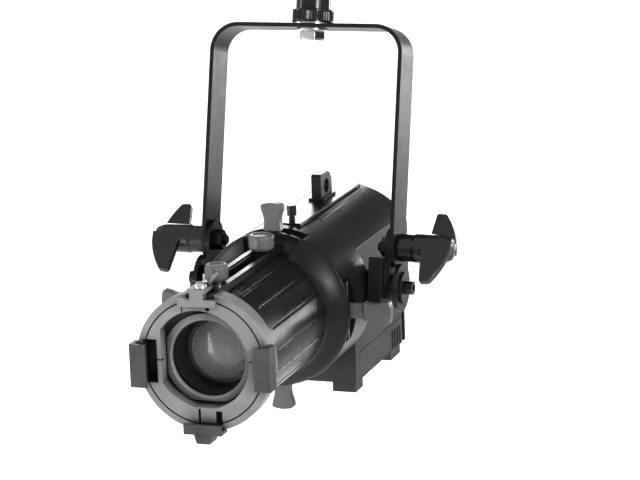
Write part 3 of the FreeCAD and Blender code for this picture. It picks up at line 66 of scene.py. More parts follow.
# The head's optical axis lies this far below the T-knobs: straight down, then square to the axis.
PIVOT_DROP = 29
AXIS_DROP = 5
HEAD_ORIGIN = PIVOT - Vector((0, 0, PIVOT_DROP * MM)) - UP * AXIS_DROP * MM
HEAD = axes(SIDE, -FORWARD, UP, HEAD_ORIGIN)
WORLD = Matrix.Scale(MM, 4)


# ---------------------------------------------------------------- materials

def new_material(name):
    """New material, its node tree's nodes and links, and its shader."""
    material = bpy.data.materials.new(name)
    material.use_nodes = True
    nodes = material.node_tree.nodes
    return material, nodes, material.node_tree.links, nodes["Principled BSDF"]


def map_range(nodes, links, value, start, end):
    """Output socket of a value mapped from the range start to the range end, clamped."""
    node = nodes.new("ShaderNodeMapRange")
    node.inputs["From Min"].default_value = start[0]
    node.inputs["From Max"].default_value = start[1]
    node.inputs["To Min"].default_value = end[0]
    node.inputs["To Max"].default_value = end[1]
    links.new(value, node.inputs["Value"])
    return node.outputs["Result"]


NOISE_ROUGHNESS = 0.6
NOISE_SPAN = (0.3, 0.7)


def noise_between(nodes, links, scale, low, high, detail=4.0):
    """Output socket of a noise in object coordinates, mapped to a range of values."""
    coordinates = nodes.new("ShaderNodeTexCoord")
    noise = nodes.new("ShaderNodeTexNoise")
    noise.inputs["Scale"].default_value = scale
    noise.inputs["Detail"].default_value = detail
    noise.inputs["Roughness"].default_value = NOISE_ROUGHNESS
    links.new(coordinates.outputs["Object"], noise.inputs["Vector"])
    return map_range(nodes, links, noise.outputs["Fac"], NOISE_SPAN, (low, high))


def mottled(nodes, links, scale, dark, light):
    """Output socket of a colour that wanders in patches between dark and light."""
    ramp = nodes.new("ShaderNodeValToRGB")
    ramp.color_ramp.elements[0].color = (*dark, 1)
    ramp.color_ramp.elements[1].color = (*light, 1)
    links.new(noise_between(nodes, links, scale, 0.0, 1.0), ramp.inputs["Fac"])
    return ramp.outputs["Color"]


# Settings of the painted shade that darkens a coat's colour in its recesses.
RECESS_SAMPLES = 8
RECESS_OPENNESS = (0.45, 0.95)
RECESS_SHADE = (0.05, 1.0)


def painted_recess_shade(nodes, links, color, distance):
    """Output socket of a colour darkened by painted shade in recesses narrower than a distance in metres."""
    recess = nodes.new("ShaderNodeAmbientOcclusion")
    recess.samples = RECESS_SAMPLES
    recess.inputs["Distance"].default_value = distance
    shade = nodes.new("ShaderNodeVectorMath")
    shade.operation = "SCALE"
    links.new(color, shade.inputs[0])
    openness = map_range(nodes, links, recess.outputs["AO"], RECESS_OPENNESS, RECESS_SHADE)
    links.new(openness, shade.inputs["Scale"])
    return shade.outputs["Vector"]


PATCH_SCALE = 38
SMEAR_SCALE = 75
SMEAR_DETAIL = 6
GRAIN_DETAIL = 3
GRAIN_STRENGTH = 0.6
EDGE_SAMPLES = 4


def coated(name, dark, light, rough, grain, edge=0.0004, metallic=0.0, gloss=0.5, painted_shade_reach=0.0):
    """Paint, powder coat, plastic or metal: mottled colour, uneven gloss, grain, soft edges and painted shade in
    recesses.

    dark and light are the ends of the colour's range, rough is the range of roughness, and grain
    the bump's noise scale and its depth in metres. edge is the radius in metres that sharp edges
    are rounded to in the shading, gloss the strength of the reflection, and painted_shade_reach
    the distance in metres within which a recess counts as deep and is darkened as painted shade.
    """
    material, nodes, links, shader = new_material(name)
    shader.inputs["Metallic"].default_value = metallic
    shader.inputs["Specular IOR Level"].default_value = gloss

    color = mottled(nodes, links, PATCH_SCALE, dark, light)
    # Painted shade: an ambient occlusion node darkens the colour in recesses.
    if painted_shade_reach:
        color = painted_recess_shade(nodes, links, color, painted_shade_reach)
    links.new(color, shader.inputs["Base Color"])
    smears = noise_between(nodes, links, SMEAR_SCALE, *rough, detail=SMEAR_DETAIL)
    links.new(smears, shader.inputs["Roughness"])

    grain_scale, grain_depth = grain
    bevel = nodes.new("ShaderNodeBevel")
    bevel.samples = EDGE_SAMPLES
    bevel.inputs["Radius"].default_value = edge
    bump = nodes.new("ShaderNodeBump")
    bump.inputs["Strength"].default_value = GRAIN_STRENGTH
    bump.inputs["Distance"].default_value = grain_depth
    height = noise_between(nodes, links, grain_scale, 0.0, 1.0, detail=GRAIN_DETAIL)
    links.new(height, bump.inputs["Height"])
    links.new(bevel.outputs["Normal"], bump.inputs["Normal"])
    links.new(bump.outputs["Normal"], shader.inputs["Normal"])
    return material


GLASS_CLEARNESS = 0.74
CROWN_GLASS_IOR = 1.52
DUST_SCALE = 60
TINT_SCALE = 20


def glass_material(name):
    """Thick lens glass with a dusty surface, which scatters light and blurs what lies behind it."""
    material, nodes, links, shader = new_material(name)
    shader.inputs["Transmission Weight"].default_value = GLASS_CLEARNESS
    shader.inputs["IOR"].default_value = CROWN_GLASS_IOR
    links.new(noise_between(nodes, links, DUST_SCALE, 0.10, 0.14), shader.inputs["Roughness"])
    tint = mottled(nodes, links, TINT_SCALE, (0.55, 0.57, 0.58), (0.60, 0.62, 0.63))
    links.new(tint, shader.inputs["Base Color"])
    return material


TRACK_SCALE = 260
TRACK_GAP = 0.03
RESIST_SCALE = 120


def board_material(name):
    """Green solder resist with copper tracks showing through as lighter lines."""
    material, nodes, links, shader = new_material(name)
    coordinates = nodes.new("ShaderNodeTexCoord")
    bricks = nodes.new("ShaderNodeTexBrick")
    bricks.inputs["Scale"].default_value = TRACK_SCALE
    bricks.inputs["Color1"].default_value = (0.012, 0.10, 0.035, 1)
    bricks.inputs["Color2"].default_value = (0.015, 0.13, 0.045, 1)
    bricks.inputs["Mortar"].default_value = (0.05, 0.22, 0.08, 1)
    bricks.inputs["Mortar Size"].default_value = TRACK_GAP
    links.new(coordinates.outputs["Object"], bricks.inputs["Vector"])
    links.new(bricks.outputs["Color"], shader.inputs["Base Color"])
    links.new(noise_between(nodes, links, RESIST_SCALE, 0.2, 0.4), shader.inputs["Roughness"])
    return material


BLACK = (0.0040, 0.0040, 0.0045)
SOOT = (0.0075, 0.0075, 0.008)

# Each coat's colours, roughness, grain and, where they aren't the usual ones, its other settings.
COATS = {
    "clamp_gloss": (BLACK, SOOT, (0.14, 0.22), (900, 0.00001), {"gloss": 0.3}),
    "powder_coat": (BLACK, SOOT, (0.32, 0.42), (1500, 0.00003), {"gloss": 0.2}),
    "powder_coat_fine": (BLACK, SOOT, (0.25, 0.32), (1900, 0.00001), {"gloss": 0.22}),
    "cast_coat": (BLACK, SOOT, (0.27, 0.36), (1500, 0.00002), {"edge": 0.0006, "gloss": 0.22}),
    "tube_coat": (BLACK, SOOT, (0.25, 0.32), (1900, 0.00001), {"edge": 0.0006, "gloss": 0.22}),
    "box_coat": (
        (0.010, 0.010, 0.011), (0.030, 0.030, 0.031),
        (0.42, 0.55), (1100, 0.00006), {"gloss": 0.25},
    ),
    # The ring's and the clips' coats are the lamp's black powder coat painted a lighter grey, as painted light
    # from the front, with painted shade in their recesses.
    "ring_coat_painted_light_and_shade": (
        (0.14, 0.14, 0.141), (0.22, 0.22, 0.221),
        (0.40, 0.52), (1300, 0.00006), {"gloss": 0.35, "painted_shade_reach": 0.016},
    ),
    "clip_coat_painted_light_and_shade": (
        (0.022, 0.022, 0.023), (0.060, 0.060, 0.061),
        (0.42, 0.54), (1300, 0.00006), {"gloss": 0.25, "painted_shade_reach": 0.006},
    ),
    "black_steel": (BLACK, SOOT, (0.25, 0.40), (1100, 0.00002), {"gloss": 0.3}),
    "black_plastic": (BLACK, SOOT, (0.20, 0.27), (1300, 0.00001), {}),
    "grey_plastic": (
        (0.060, 0.060, 0.061), (0.095, 0.095, 0.096),
        (0.34, 0.46), (1300, 0.00002), {},
    ),
    "rocker_plastic": (BLACK, SOOT, (0.12, 0.22), (800, 0.00001), {}),
    "black_anodised": (BLACK, SOOT, (0.30, 0.42), (1600, 0.00001), {"gloss": 0.3}),
    "plated_steel": (
        (0.55, 0.55, 0.53), (0.72, 0.72, 0.70),
        (0.16, 0.30), (300, 0.00001), {"metallic": 1.0},
    ),
    "blade_steel": (
        (0.30, 0.30, 0.30), (0.42, 0.42, 0.41),
        (0.25, 0.42), (800, 0.00001), {"metallic": 1.0},
    ),
    "inner_aluminium": (
        (0.60, 0.60, 0.61), (0.72, 0.72, 0.73),
        (0.25, 0.40), (900, 0.00001), {"metallic": 1.0},
    ),
}

MATERIALS = {}
for coat, (dark, light, rough, grain, others) in COATS.items():
    MATERIALS[coat] = coated(coat, dark, light, rough, grain, **others)
MATERIALS["lens_glass"] = glass_material("lens_glass")
MATERIALS["circuit_board"] = board_material("circuit_board")

# Nodes whose coat looks different from the rest of their slot; the front ring, bezel, latch and clips take the
# lighter coats of painted light and painted shade.
LOOKS = {
    "lens_tube": "tube_coat",
    "front_ring": "ring_coat_painted_light_and_shade",
    "lens_bezel": "ring_coat_painted_light_and_shade",
    "clip_left": "clip_coat_painted_light_and_shade",
    "clip_right": "clip_coat_painted_light_and_shade",
    "clip_bottom": "clip_coat_painted_light_and_shade",
    "filter_latch": "ring_coat_painted_light_and_shade",
    "latch_bracket": "clip_coat_painted_light_and_shade",
    "driver_box": "box_coat",
    "box_floor": "box_coat",
}

for entry in frame["record"]["subparts"]:
    node = entry["node"]
    cad_materials = frame["nodes"][node].data.materials
    cad_materials.clear()
    cad_materials.append(MATERIALS[LOOKS.get(node, entry["material_slot"])])


# ---------------------------------------------------------------- mesh helpers

# Pieces are made in millimetres, in a local frame that make_piece takes to the world.

def lathe(bm, profile, steps=64, scallops=0, depth=0.0, span=(0, 0)):
    """Adds a surface turned about local Z from (radius, height) pairs.

    With scallops, the radius dips by depth that many times round, between the two heights of span.
    """
    rings = []
    for radius, height in profile:
        if radius < 1e-6:
            rings.append([bm.verts.new((0, 0, height))])
            continue
        ring = []
        for step in range(steps):
            angle = 2 * math.pi * step / steps
            dip = 0.0
            if scallops and span[0] <= height <= span[1]:
                dip = depth * (0.5 - 0.5 * math.cos(scallops * angle))
            reach = radius - dip
            ring.append(bm.verts.new((reach * math.cos(angle), reach * math.sin(angle), height)))
        rings.append(ring)
    for low, high in zip(rings, rings[1:]):
        for step in range(steps):
            following = (step + 1) % steps
            corners = [
                low[step % len(low)], low[following % len(low)],
                high[following % len(high)], high[step % len(high)],
            ]
            unique = list(dict.fromkeys(corners))
            if len(unique) > 2:
                bm.faces.new(unique)


ARC_PARTS = 4


def rounded(profile, radius):
    """The profile with each inner corner replaced by an arc of about the given radius."""
    result = [profile[0]]
    for before, corner, after in zip(profile, profile[1:], profile[2:]):
        here = Vector(corner)
        back = Vector(before) - here
        ahead = Vector(after) - here
        trim = min(radius, back.length * 0.45, ahead.length * 0.45)
        start = here + back.normalized() * trim
        end = here + ahead.normalized() * trim
        for part in range(ARC_PARTS + 1):
            t = part / ARC_PARTS
            bend = start * (1 - t) ** 2 + here * 2 * t * (1 - t) + end * t ** 2
            result.append((bend.x, bend.y))
    result.append(profile[-1])
    return result


def plate(bm, outline, low, high):
    """Adds a closed prism: an outline in local X and Y between two local heights."""
    bottom = [bm.verts.new((x, y, low)) for x, y in outline]
    top = [bm.verts.new((x, y, high)) for x, y in outline]
    bm.faces.new(list(reversed(bottom)))
    bm.faces.new(top)
    count = len(outline)
    for index in range(count):
        following = (index + 1) % count
        bm.faces.new((bottom[index], bottom[following], top[following], top[index]))


def block(bm, low, high):
    """Adds a box between two corners."""
    outline = [(low[0], low[1]), (high[0], low[1]), (high[0], high[1]), (low[0], high[1])]
    plate(bm, outline, low[2], high[2])


def extent(node, direction):
    """Least and greatest place of a CAD node along a direction from HEAD_ORIGIN, in millimetres."""
    vertices = frame["nodes"][node].data.vertices
    places = [(vertex.co - HEAD_ORIGIN).dot(direction) / MM for vertex in vertices]
    return min(places), max(places)


def make_piece(
    name, bm, matrix, material, body, stands_for=(), bevel=0.0, smooth_angle=35,
):
    """Turns a bmesh in millimetres into a finished piece that rides on a body.

    stands_for lists the CAD nodes that it replaces, bevel is a width in millimetres, and edges
    sharper than smooth_angle in degrees stay sharp.
    """
    bmesh.ops.recalc_face_normals(bm, faces=bm.faces)
    bm.transform(matrix)
    if matrix.determinant() < 0:
        bmesh.ops.reverse_faces(bm, faces=bm.faces)
    mesh = bpy.data.meshes.new(name)
    bm.to_mesh(mesh)
    bm.free()
    piece = bpy.data.objects.new(name, mesh)
    bpy.context.scene.collection.objects.link(piece)
    mesh.materials.append(MATERIALS[material])
    if bevel:
        modifier = piece.modifiers.new("edges", "BEVEL")
        modifier.width = bevel * MM
        modifier.segments = 3
        modifier.limit_method = "ANGLE"
        modifier.angle_limit = math.radians(30)
    mesh.shade_smooth()
    mesh.set_sharp_from_angle(angle=math.radians(smooth_angle))
    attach(piece, body)
    if stands_for:
        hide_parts(*stands_for)
    return piece


def moulded(piece, voxel, rounds):
    """Merges a piece's overlapping shells into one skin with soft edges, as a moulding has."""
    remesh = piece.modifiers.new("skin", "REMESH")
    remesh.mode = "VOXEL"
    remesh.voxel_size = voxel * MM
    remesh.use_smooth_shade = True
    soften = piece.modifiers.new("soften", "SMOOTH")
    soften.factor = 0.5
    soften.iterations = rounds
    graph = bpy.context.evaluated_depsgraph_get()
    skin = bpy.data.meshes.new_from_object(piece.evaluated_get(graph))
    skin.name = piece.name
    piece.modifiers.clear()
    piece.data = skin
    skin.shade_smooth()


# ---------------------------------------------------------------- T-knobs

# Starts and ends run along the stud, outwards from PIVOT.
KNOB_RADIUS = 10.3
KNOB_START = 74.6
KNOB_WING_START = 94
KNOB_END = 116
KNOB_REACH = 32
KNOB_WING = 5.5
KNOB_WING_INSET = 0.2
KNOB_WING_DROP = 12
KNOB_TURN = 63
KNOB_VOXEL = 0.55


def knob_wing(bm, sign):
    """Adds one wing in the knob's frame, whose local Z runs along the stud, flush with the hub."""
    steps = 12
    outer_edge = []
    for step in range(steps + 1):
        reach = (KNOB_REACH - 0.6) * (1 - step / steps)
        drop = KNOB_WING_DROP * (reach / KNOB_REACH) ** 2
        outer_edge.append((reach, KNOB_END - 0.4 - drop))
    inner_edge = [
        (0, KNOB_WING_START - 0.5),
        (8, KNOB_WING_START),
        (KNOB_REACH - 1.5, KNOB_WING_START + 2.5),
        (KNOB_REACH, KNOB_WING_START + 4),
    ]
    low = KNOB_RADIUS - KNOB_WING - KNOB_WING_INSET
    high = KNOB_RADIUS - KNOB_WING_INSET
    sheet = bmesh.new()
    plate(sheet, inner_edge + outer_edge, low, high)
    # The outline lies in the local X-Y plane and is stood up, so that its Y runs along the stud.
    stand = Matrix(((sign, 0, 0, 0), (0, 0, -sign, 0), (0, 1, 0, 0), (0, 0, 0, 1)))
    sheet.transform(stand)
    mesh = bpy.data.meshes.new("knob_wing_shell")
    sheet.to_mesh(mesh)
    sheet.free()
    bm.from_mesh(mesh)
    bpy.data.meshes.remove(mesh)


def make_knob(side, label):
    """T-knob: a round hub with a collar and two wings, merged into one moulding."""
    bm = bmesh.new()
    hub = rounded([
        (0, KNOB_START),
        (KNOB_RADIUS - 0.4, KNOB_START),
        (KNOB_RADIUS, KNOB_START + 1),
        (KNOB_RADIUS, KNOB_WING_START - 7.5),
        (KNOB_RADIUS + 0.6, KNOB_WING_START - 7),
        (KNOB_RADIUS + 0.2, KNOB_END - 8),
        (KNOB_RADIUS - 2.5, KNOB_END - 1.2),
        (0, KNOB_END - 0.2),
    ], 1.2)
    lathe(bm, hub)
    knob_wing(bm, 1)
    knob_wing(bm, -1)
    # The wings stand KNOB_TURN degrees up from the horizontal, the upper one leaning back.
    turn = math.radians(KNOB_TURN)
    along = Vector((0, math.cos(turn), math.sin(turn)))
    across = Vector((0, -math.sin(turn), math.cos(turn)))
    matrix = axes(along, across, SIDE * side, PIVOT)
    piece = make_piece("T_" + label, bm, matrix, "black_plastic", label, [label])
    moulded(piece, KNOB_VOXEL, rounds=6)


for side, label in ((1, "knob_right"), (-1, "knob_left")):
    make_knob(side, label)


# ---------------------------------------------------------------- shutter handles

PADDLE_LENGTH = 20.2
PADDLE_HALF_TIP = 8.2
PADDLE_HALF_FOOT = 6.8
PADDLE_PINCH = 1.3
PADDLE_BOW = 2.2
PADDLE_VOXEL = 0.35
# The power of the curve that the sides flare by, and the share of their length that is waisted.
PADDLE_FLARE = 1.6
PADDLE_WAISTED = 0.84

# The stem reaches from below the paddle's foot to a little above it.
STEM_LENGTH = 11.2
STEM_OVERLAP = 0.6
STEM_HALF_WIDTH = 5.6
STEM_HALF_THICKNESS = 1.6


def paddle_outline():
    """Tulip outline from the foot at 0 to the tip: waisted sides and a bowed end."""
    side_length = PADDLE_LENGTH - PADDLE_BOW
    side_steps = 14
    right = []
    for step in range(side_steps + 1):
        t = step / side_steps
        flare = (PADDLE_HALF_TIP - PADDLE_HALF_FOOT) * t ** PADDLE_FLARE
        waist = PADDLE_PINCH * math.sin(math.pi * min(t / PADDLE_WAISTED, 1.0))
        right.append((PADDLE_HALF_FOOT + flare - waist, side_length * t))
    bow_steps = 8
    bow = []
    for step in range(1, bow_steps):
        angle = math.pi * step / bow_steps
        bow.append((PADDLE_HALF_TIP * math.cos(angle), side_length + PADDLE_BOW * math.sin(angle)))
    left = [(-x, y) for x, y in reversed(right)]
    return right + bow + left


def make_handle(direction, label):
    """Paddle that ends where the CAD handle does, and the stem between it and the blade."""
    node = label + "_handle"
    tip = extent(node, direction)[1]
    rear, front = extent(node, FORWARD)
    foot = direction * (tip - PADDLE_LENGTH) * MM
    origin = HEAD_ORIGIN + FORWARD * ((rear + front) / 2) * MM + foot
    matrix = axes(direction.cross(FORWARD), direction, FORWARD, origin)
    half = (front - rear) / 2
    paddle = bmesh.new()
    plate(paddle, paddle_outline(), -half, half)
    piece = make_piece(label + "_paddle", paddle, matrix, "grey_plastic", label, [node])
    moulded(piece, PADDLE_VOXEL, rounds=5)
    stem = bmesh.new()
    block(
        stem,
        (-STEM_HALF_WIDTH, -STEM_LENGTH, -STEM_HALF_THICKNESS),
        (STEM_HALF_WIDTH, STEM_OVERLAP, STEM_HALF_THICKNESS),
    )
    make_piece(label + "_neck", stem, matrix, "grey_plastic", label, bevel=0.5)


for label, direction in (
    ("shutter_top", UP),
    ("shutter_bottom", -UP),
    ("shutter_right", SIDE),
    ("shutter_left", -SIDE),
):
    make_handle(direction, label)


# ---------------------------------------------------------------- thumb-screws

THUMB_SHANK = 2.45
THUMB_HEAD_HEIGHT = 11.4
THUMB_SCALLOPS = 20
THUMB_SCALLOP_DEPTH = 0.2


def make_thumb_screw(name, joint_name, body):
    """Moulded head with shallow finger scallops and a dished top."""
    low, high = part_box(name)
    radius = (high.x - low.x) / 2 / MM
    end, top = extent(name, UP)
    bottom = top - THUMB_HEAD_HEIGHT
    axis_point = Vector(joints[joint_name]["pos_m"])
    foot = axis_point - UP * ((axis_point - HEAD_ORIGIN).dot(UP))
    shank = [(0, end), (THUMB_SHANK, end), (THUMB_SHANK, bottom)]
    head = rounded([
        (THUMB_SHANK, bottom),
        (radius - 1.6, bottom),
        (radius, bottom + 2.2),
        (radius, top - 1.6),
        (radius - 1.2, top),
        (radius - 2.8, top),
        (radius - 3.6, top - 0.9),
        (0, top - 1.2),
    ], 0.8)
    span = (bottom + 1.2, top - 0.9)
    bm = bmesh.new()
    lathe(bm, shank + head[1:], 120, THUMB_SCALLOPS, THUMB_SCALLOP_DEPTH, span)
    matrix = axes(SIDE, -FORWARD, UP, foot)
    make_piece(name + "_head", bm, matrix, "grey_plastic", body, [name])


make_thumb_screw("front_lens_thumb_screw", "front_thumb_screw_turn", "front_thumb_screw")
make_thumb_screw("rear_lens_thumb_screw", "rear_thumb_screw_turn", "rear_thumb_screw")


# ---------------------------------------------------------------- lenses

LENS_RADIUS = 21.2
RIM_HALF = 1.6
# The rim's middle, as a share of the lens's depth from its rear.
RIM_PLACE = 0.55


def lens_face(middle, rim):
    """Section of a lens face from the axis out to the rim, given where both lie along the beam."""
    steps = 14
    return [
        (LENS_RADIUS * step / steps, middle + (rim - middle) * (step / steps) ** 2)
        for step in range(steps + 1)
    ]


def make_lens(node, body):
    """Lens with two curved faces and a plain rim, as deep as the CAD lens."""
    rear, front = extent(node, FORWARD)
    rim = rear + (front - rear) * RIM_PLACE
    profile = lens_face(rear, rim - RIM_HALF) + lens_face(front, rim + RIM_HALF)[::-1]
    bm = bmesh.new()
    lathe(bm, profile, steps=72)
    matrix = axes(SIDE, UP, FORWARD, HEAD_ORIGIN)
    make_piece(node + "_glass", bm, matrix, "lens_glass", body, [node], smooth_angle=50)


make_lens("front_lens", "front_carriage")
make_lens("rear_lens", "rear_carriage")


# ---------------------------------------------------------------- pan bolt and collar

BOLT_RADIUS = 5
BOLT_CHAMFER = 0.9
BOLT_FACE_SCALE = 0.9
BOLT_TIP_CHAMFER = 0.8
COLLAR_BORE = 5.05
COLLAR_RIBS = 24
COLLAR_RIB_DEPTH = 1.1


def make_pan_bolt():
    """Hexagon bolt with a chamfered head and a round shank, its point upwards."""
    low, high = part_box("pan_bolt")
    bottom, top = low.z / MM, high.z / MM
    head_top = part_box("pan_washers")[0].z / MM
    corner = (high.y - low.y) / MM / math.sqrt(3)
    corner_angles = [math.radians(60 * k) for k in range(6)]
    hexagon = [(corner * math.cos(angle), corner * math.sin(angle)) for angle in corner_angles]
    shank = [
        (0, head_top - 1),
        (BOLT_RADIUS, head_top - 1),
        (BOLT_RADIUS, top - BOLT_TIP_CHAMFER),
        (BOLT_RADIUS - BOLT_TIP_CHAMFER, top),
        (0, top),
    ]
    bm = bmesh.new()
    plate(bm, hexagon, bottom + BOLT_CHAMFER, head_top)
    face = [(x * BOLT_FACE_SCALE, y * BOLT_FACE_SCALE) for x, y in hexagon]
    plate(bm, face, bottom, bottom + BOLT_CHAMFER)
    lathe(bm, shank, steps=48)
    make_piece("pan_bolt_hexagon", bm, WORLD, "plated_steel", "clamp", ["pan_bolt"], bevel=0.35)


def make_collar():
    """Locking collar with rounded ribs between two plain rims."""
    low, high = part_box("lock_collar")
    bottom, top = low.z / MM, high.z / MM
    radius = (high.x - low.x) / 2 / MM
    profile = rounded([
        (COLLAR_BORE, bottom),
        (radius - 0.6, bottom),
        (radius, bottom + 0.6),
        (radius, bottom + 1.5),
        (radius - 0.1, bottom + 1.8),
        (radius - 0.1, top - 1.8),
        (radius, top - 1.5),
        (radius, top - 0.6),
        (radius - 0.6, top),
        (COLLAR_BORE, top),
        (COLLAR_BORE, bottom),
    ], 0.4)
    span = (bottom + 1.6, top - 1.6)
    bm = bmesh.new()
    lathe(bm, profile, 192, COLLAR_RIBS, COLLAR_RIB_DEPTH, span)
    make_piece("lock_collar_ribbed", bm, WORLD, "clamp_gloss", "clamp", ["lock_collar"])


make_pan_bolt()
make_collar()


# ---------------------------------------------------------------- cast beads beside the top strip

GATE_RADIUS = 56.5
BEAD_RADIUS = 0.9


def make_bead(x, rear, front, label):
    """Slim half-round bead on the arch of the housing, tapered at both ends."""
    height = math.sqrt(GATE_RADIUS ** 2 - x ** 2)
    bm = bmesh.new()
    lathe(bm, [
        (0, rear),
        (BEAD_RADIUS * 0.7, rear + 1),
        (BEAD_RADIUS, rear + 3),
        (BEAD_RADIUS, front - 3),
        (BEAD_RADIUS * 0.7, front - 1),
        (0, front),
    ], steps=16)
    origin = HEAD_ORIGIN + (SIDE * x + UP * height) * MM
    make_piece(label, bm, axes(SIDE, UP, FORWARD, origin), "cast_coat", "head")


for side, tag in ((1, "right"), (-1, "left")):
    make_bead(side * 15.5, -104, 4, "strip_bead_inner_" + tag)
    make_bead(side * 18.2, -60, 4, "strip_bead_outer_" + tag)


# ---------------------------------------------------------------- neck between gate and tube

GATE_FRONT = 56.6
NECK_FRONT = 74
TUBE_RADIUS = 44
# Half of the gap at the top, in degrees.
RAIL_GAP = 22


def make_neck():
    """Soft neck from the gate housing down to the lens tube, open at the top for the rails."""
    steps = 12
    outline = []
    for step in range(steps + 1):
        t = step / steps
        drop = (GATE_RADIUS - TUBE_RADIUS) * (0.5 - 0.5 * math.cos(math.pi * t))
        outline.append((GATE_RADIUS + 0.25 - drop, GATE_FRONT + (NECK_FRONT - GATE_FRONT) * t))
    outline += [
        (TUBE_RADIUS - 0.6, NECK_FRONT),
        (TUBE_RADIUS, GATE_FRONT + 4),
        (GATE_RADIUS - 2, GATE_FRONT),
    ]
    bm = bmesh.new()
    turns = 84
    sections = []
    for turn in range(turns + 1):
        angle = math.radians(RAIL_GAP + (360 - 2 * RAIL_GAP) * turn / turns)
        section = [(r * math.sin(angle), r * math.cos(angle), ahead) for r, ahead in outline]
        sections.append([bm.verts.new(point) for point in section])
    count = len(outline)
    for before, after in zip(sections, sections[1:]):
        for index in range(count):
            following = (index + 1) % count
            bm.faces.new((before[index], before[following], after[following], after[index]))
    bm.faces.new(sections[0])
    bm.faces.new(list(reversed(sections[-1])))
    matrix = axes(SIDE, UP, FORWARD, HEAD_ORIGIN)
    make_piece("gate_neck", bm, matrix, "tube_coat", "head")


make_neck()


# ---------------------------------------------------------------- stage, lights and camera

# The stage, the lights and the camera are in metres.
FLOOR = -1.1
STAGE_FRONT = -7.0
STAGE_BACK = 3.2
STAGE_TOP = 1.3
STAGE_CURVE = 1.6
STAGE_HALF_WIDTH = 8
PAPER_SCALE = 3
PAPER_WHITENESS = (0.92, 0.95)
RISE_HEIGHTS = (-1.0, -0.5)
RISE_PALENESS = (1.0, 0.5)
GLOW_CENTRE = (-1.08, 3.0, -0.3)
GLOW_RADIUS = 2.6
GLOW_FADE = (0.1, 0.6)


def paper_material():
    """Pale paper, greyer where the backdrop rises, that glows around a point behind the lamp."""
    material, nodes, links, shader = new_material("studio_paper")
    shader.inputs["Roughness"].default_value = 0.9
    coordinates = nodes.new("ShaderNodeTexCoord")
    # The backdrop is greyer than the floor, so that the yoke reflects little of it.
    split = nodes.new("ShaderNodeSeparateXYZ")
    links.new(coordinates.outputs["Object"], split.inputs["Vector"])
    pale = nodes.new("ShaderNodeMath")
    pale.operation = "MULTIPLY"
    links.new(noise_between(nodes, links, PAPER_SCALE, *PAPER_WHITENESS), pale.inputs[0])
    rise = map_range(nodes, links, split.outputs["Z"], RISE_HEIGHTS, RISE_PALENESS)
    links.new(rise, pale.inputs[1])
    combine = nodes.new("ShaderNodeCombineColor")
    for channel in ("Red", "Green", "Blue"):
        links.new(pale.outputs["Value"], combine.inputs[channel])
    links.new(combine.outputs["Color"], shader.inputs["Base Color"])
    # The glow fades out sideways, so that it whitens what is behind the lamp and not the lamp.
    mapping = nodes.new("ShaderNodeMapping")
    mapping.inputs["Location"].default_value = [-place / GLOW_RADIUS for place in GLOW_CENTRE]
    mapping.inputs["Scale"].default_value = [1 / GLOW_RADIUS] * 3
    links.new(coordinates.outputs["Object"], mapping.inputs["Vector"])
    glow = nodes.new("ShaderNodeTexGradient")
    glow.gradient_type = "SPHERICAL"
    links.new(mapping.outputs["Vector"], glow.inputs["Vector"])
    spread = map_range(nodes, links, glow.outputs["Fac"], GLOW_FADE, (0.0, 1.0))
    shader.inputs["Emission Color"].default_value = (1, 1, 1, 1)
    links.new(spread, shader.inputs["Emission Strength"])
    return material


def make_stage():
    """Floor that curves up into a backdrop behind the lamp."""
    section = [(STAGE_FRONT, FLOOR), (STAGE_BACK - STAGE_CURVE, FLOOR)]
    steps = 16
    for step in range(1, steps + 1):
        angle = math.pi / 2 * step / steps
        section.append((
            STAGE_BACK - STAGE_CURVE + STAGE_CURVE * math.sin(angle),
            FLOOR + STAGE_CURVE - STAGE_CURVE * math.cos(angle),
        ))
    section.append((STAGE_BACK, STAGE_TOP))
    bm = bmesh.new()
    left = [bm.verts.new((-STAGE_HALF_WIDTH, y, z)) for y, z in section]
    right = [bm.verts.new((STAGE_HALF_WIDTH, y, z)) for y, z in section]
    for index in range(len(section) - 1):
        bm.faces.new((left[index], right[index], right[index + 1], left[index + 1]))
    mesh = bpy.data.meshes.new("studio_backdrop")
    bm.to_mesh(mesh)
    bm.free()
    mesh.materials.append(paper_material())
    mesh.shade_smooth()
    backdrop = bpy.data.objects.new("studio_backdrop", mesh)
    bpy.context.scene.collection.objects.link(backdrop)


ROOM_STRENGTH = 0.7
DRAPE_STRENGTH = 0.1
DRAPE_DIRECTION = (0.0, 0.8, 0.6)
# Cosines of the angles from DRAPE_DIRECTION where the drape ends and where it is at full depth.
DRAPE_EDGE = (0.60, 0.85)


def make_world():
    """Bright room with a dark drape high behind the lamp, which keeps its upper side dark."""
    world = bpy.data.worlds.new("studio")
    bpy.context.scene.world = world
    world.use_nodes = True
    nodes = world.node_tree.nodes
    links = world.node_tree.links
    background = nodes["Background"]
    background.inputs["Color"].default_value = (1, 1, 1, 1)
    coordinates = nodes.new("ShaderNodeTexCoord")
    towards = nodes.new("ShaderNodeVectorMath")
    towards.operation = "DOT_PRODUCT"
    towards.inputs[1].default_value = DRAPE_DIRECTION
    links.new(coordinates.outputs["Generated"], towards.inputs[0])
    strength = (ROOM_STRENGTH, DRAPE_STRENGTH)
    fade = map_range(nodes, links, towards.outputs["Value"], DRAPE_EDGE, strength)
    links.new(fade, background.inputs["Strength"])


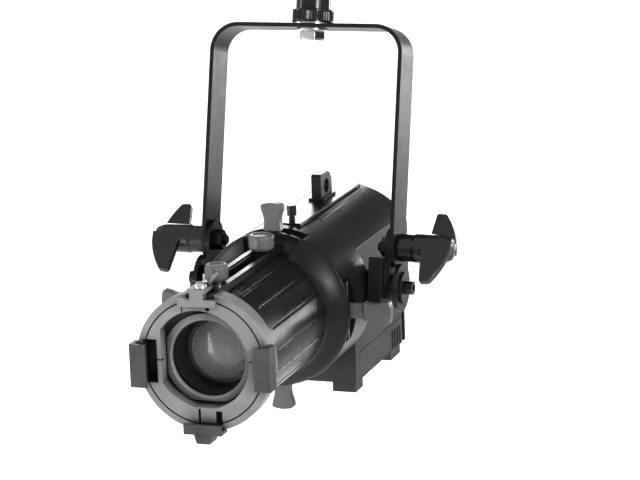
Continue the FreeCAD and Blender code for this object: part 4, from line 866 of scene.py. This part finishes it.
def make_light(name, direction, distance, width, height, power):
    """Area light that faces the T-knobs from a direction, given as x, y and z, and a distance."""
    data = bpy.data.lights.new(name, "AREA")
    data.shape = "RECTANGLE"
    data.size = width
    data.size_y = height
    data.energy = power
    light = bpy.data.objects.new(name, data)
    bpy.context.scene.collection.objects.link(light)
    light.location = PIVOT + Vector(direction).normalized() * distance
    light.rotation_mode = "QUATERNION"
    light.rotation_quaternion = (PIVOT - light.location).to_track_quat("-Z", "Y")


make_stage()
make_world()
# Two lights behind the lamp streak its top and its right flank, one low on the left fills the
# ring's face, one on the right fills the lens, a strip on the left edges the yoke, and the last
# one fills the right.
make_light("back_top", (-0.36, 0.83, 0.46), 1.7, 0.7, 0.5, 9)
make_light("back_right", (0.41, 0.88, 0.23), 2.0, 0.45, 0.5, 9)
make_light("front_low", (-0.66, -0.62, -0.38), 1.6, 0.9, 0.9, 14)
make_light("lens_fill", (0.70, -0.70, 0.12), 1.9, 0.4, 0.4, 22)
make_light("left_strip", (-0.95, -0.25, 0.25), 1.8, 0.4, 1.2, 9)
make_light("front_right", (0.85, -0.5, 0.35), 2.0, 0.5, 1.0, 5)
bpy.context.scene.view_settings.view_transform = "Standard"


# Angles in degrees, the aim as an offset from PIVOT.
CAMERA_AZIMUTH = 18.70
CAMERA_ELEVATION = -0.45
CAMERA_ROLL = 2.63
CAMERA_DISTANCE = 1.9186
CAMERA_AIM = (0.0120, 0.0041, 0.0029)
CAMERA_SENSOR = 36
CAMERA_LENS = 146.6


def make_camera():
    """Camera in front and a little to the right of the lamp, level with the T-knobs."""
    azimuth = math.radians(CAMERA_AZIMUTH)
    elevation = math.radians(CAMERA_ELEVATION)
    back = Vector((
        math.sin(azimuth) * math.cos(elevation),
        -math.cos(azimuth) * math.cos(elevation),
        math.sin(elevation),
    ))
    data = bpy.data.cameras.new("camera")
    data.sensor_width = CAMERA_SENSOR
    data.lens = CAMERA_LENS
    data.clip_end = 100
    camera = bpy.data.objects.new("camera", data)
    bpy.context.scene.collection.objects.link(camera)
    camera.location = PIVOT + Vector(CAMERA_AIM) + back * CAMERA_DISTANCE
    look = (-back).to_track_quat("-Z", "Y")
    roll = Matrix.Rotation(math.radians(CAMERA_ROLL), 4, "Z")
    camera.rotation_mode = "QUATERNION"
    camera.rotation_quaternion = (look.to_matrix().to_4x4() @ roll).to_quaternion()
    bpy.context.scene.camera = camera


make_camera()
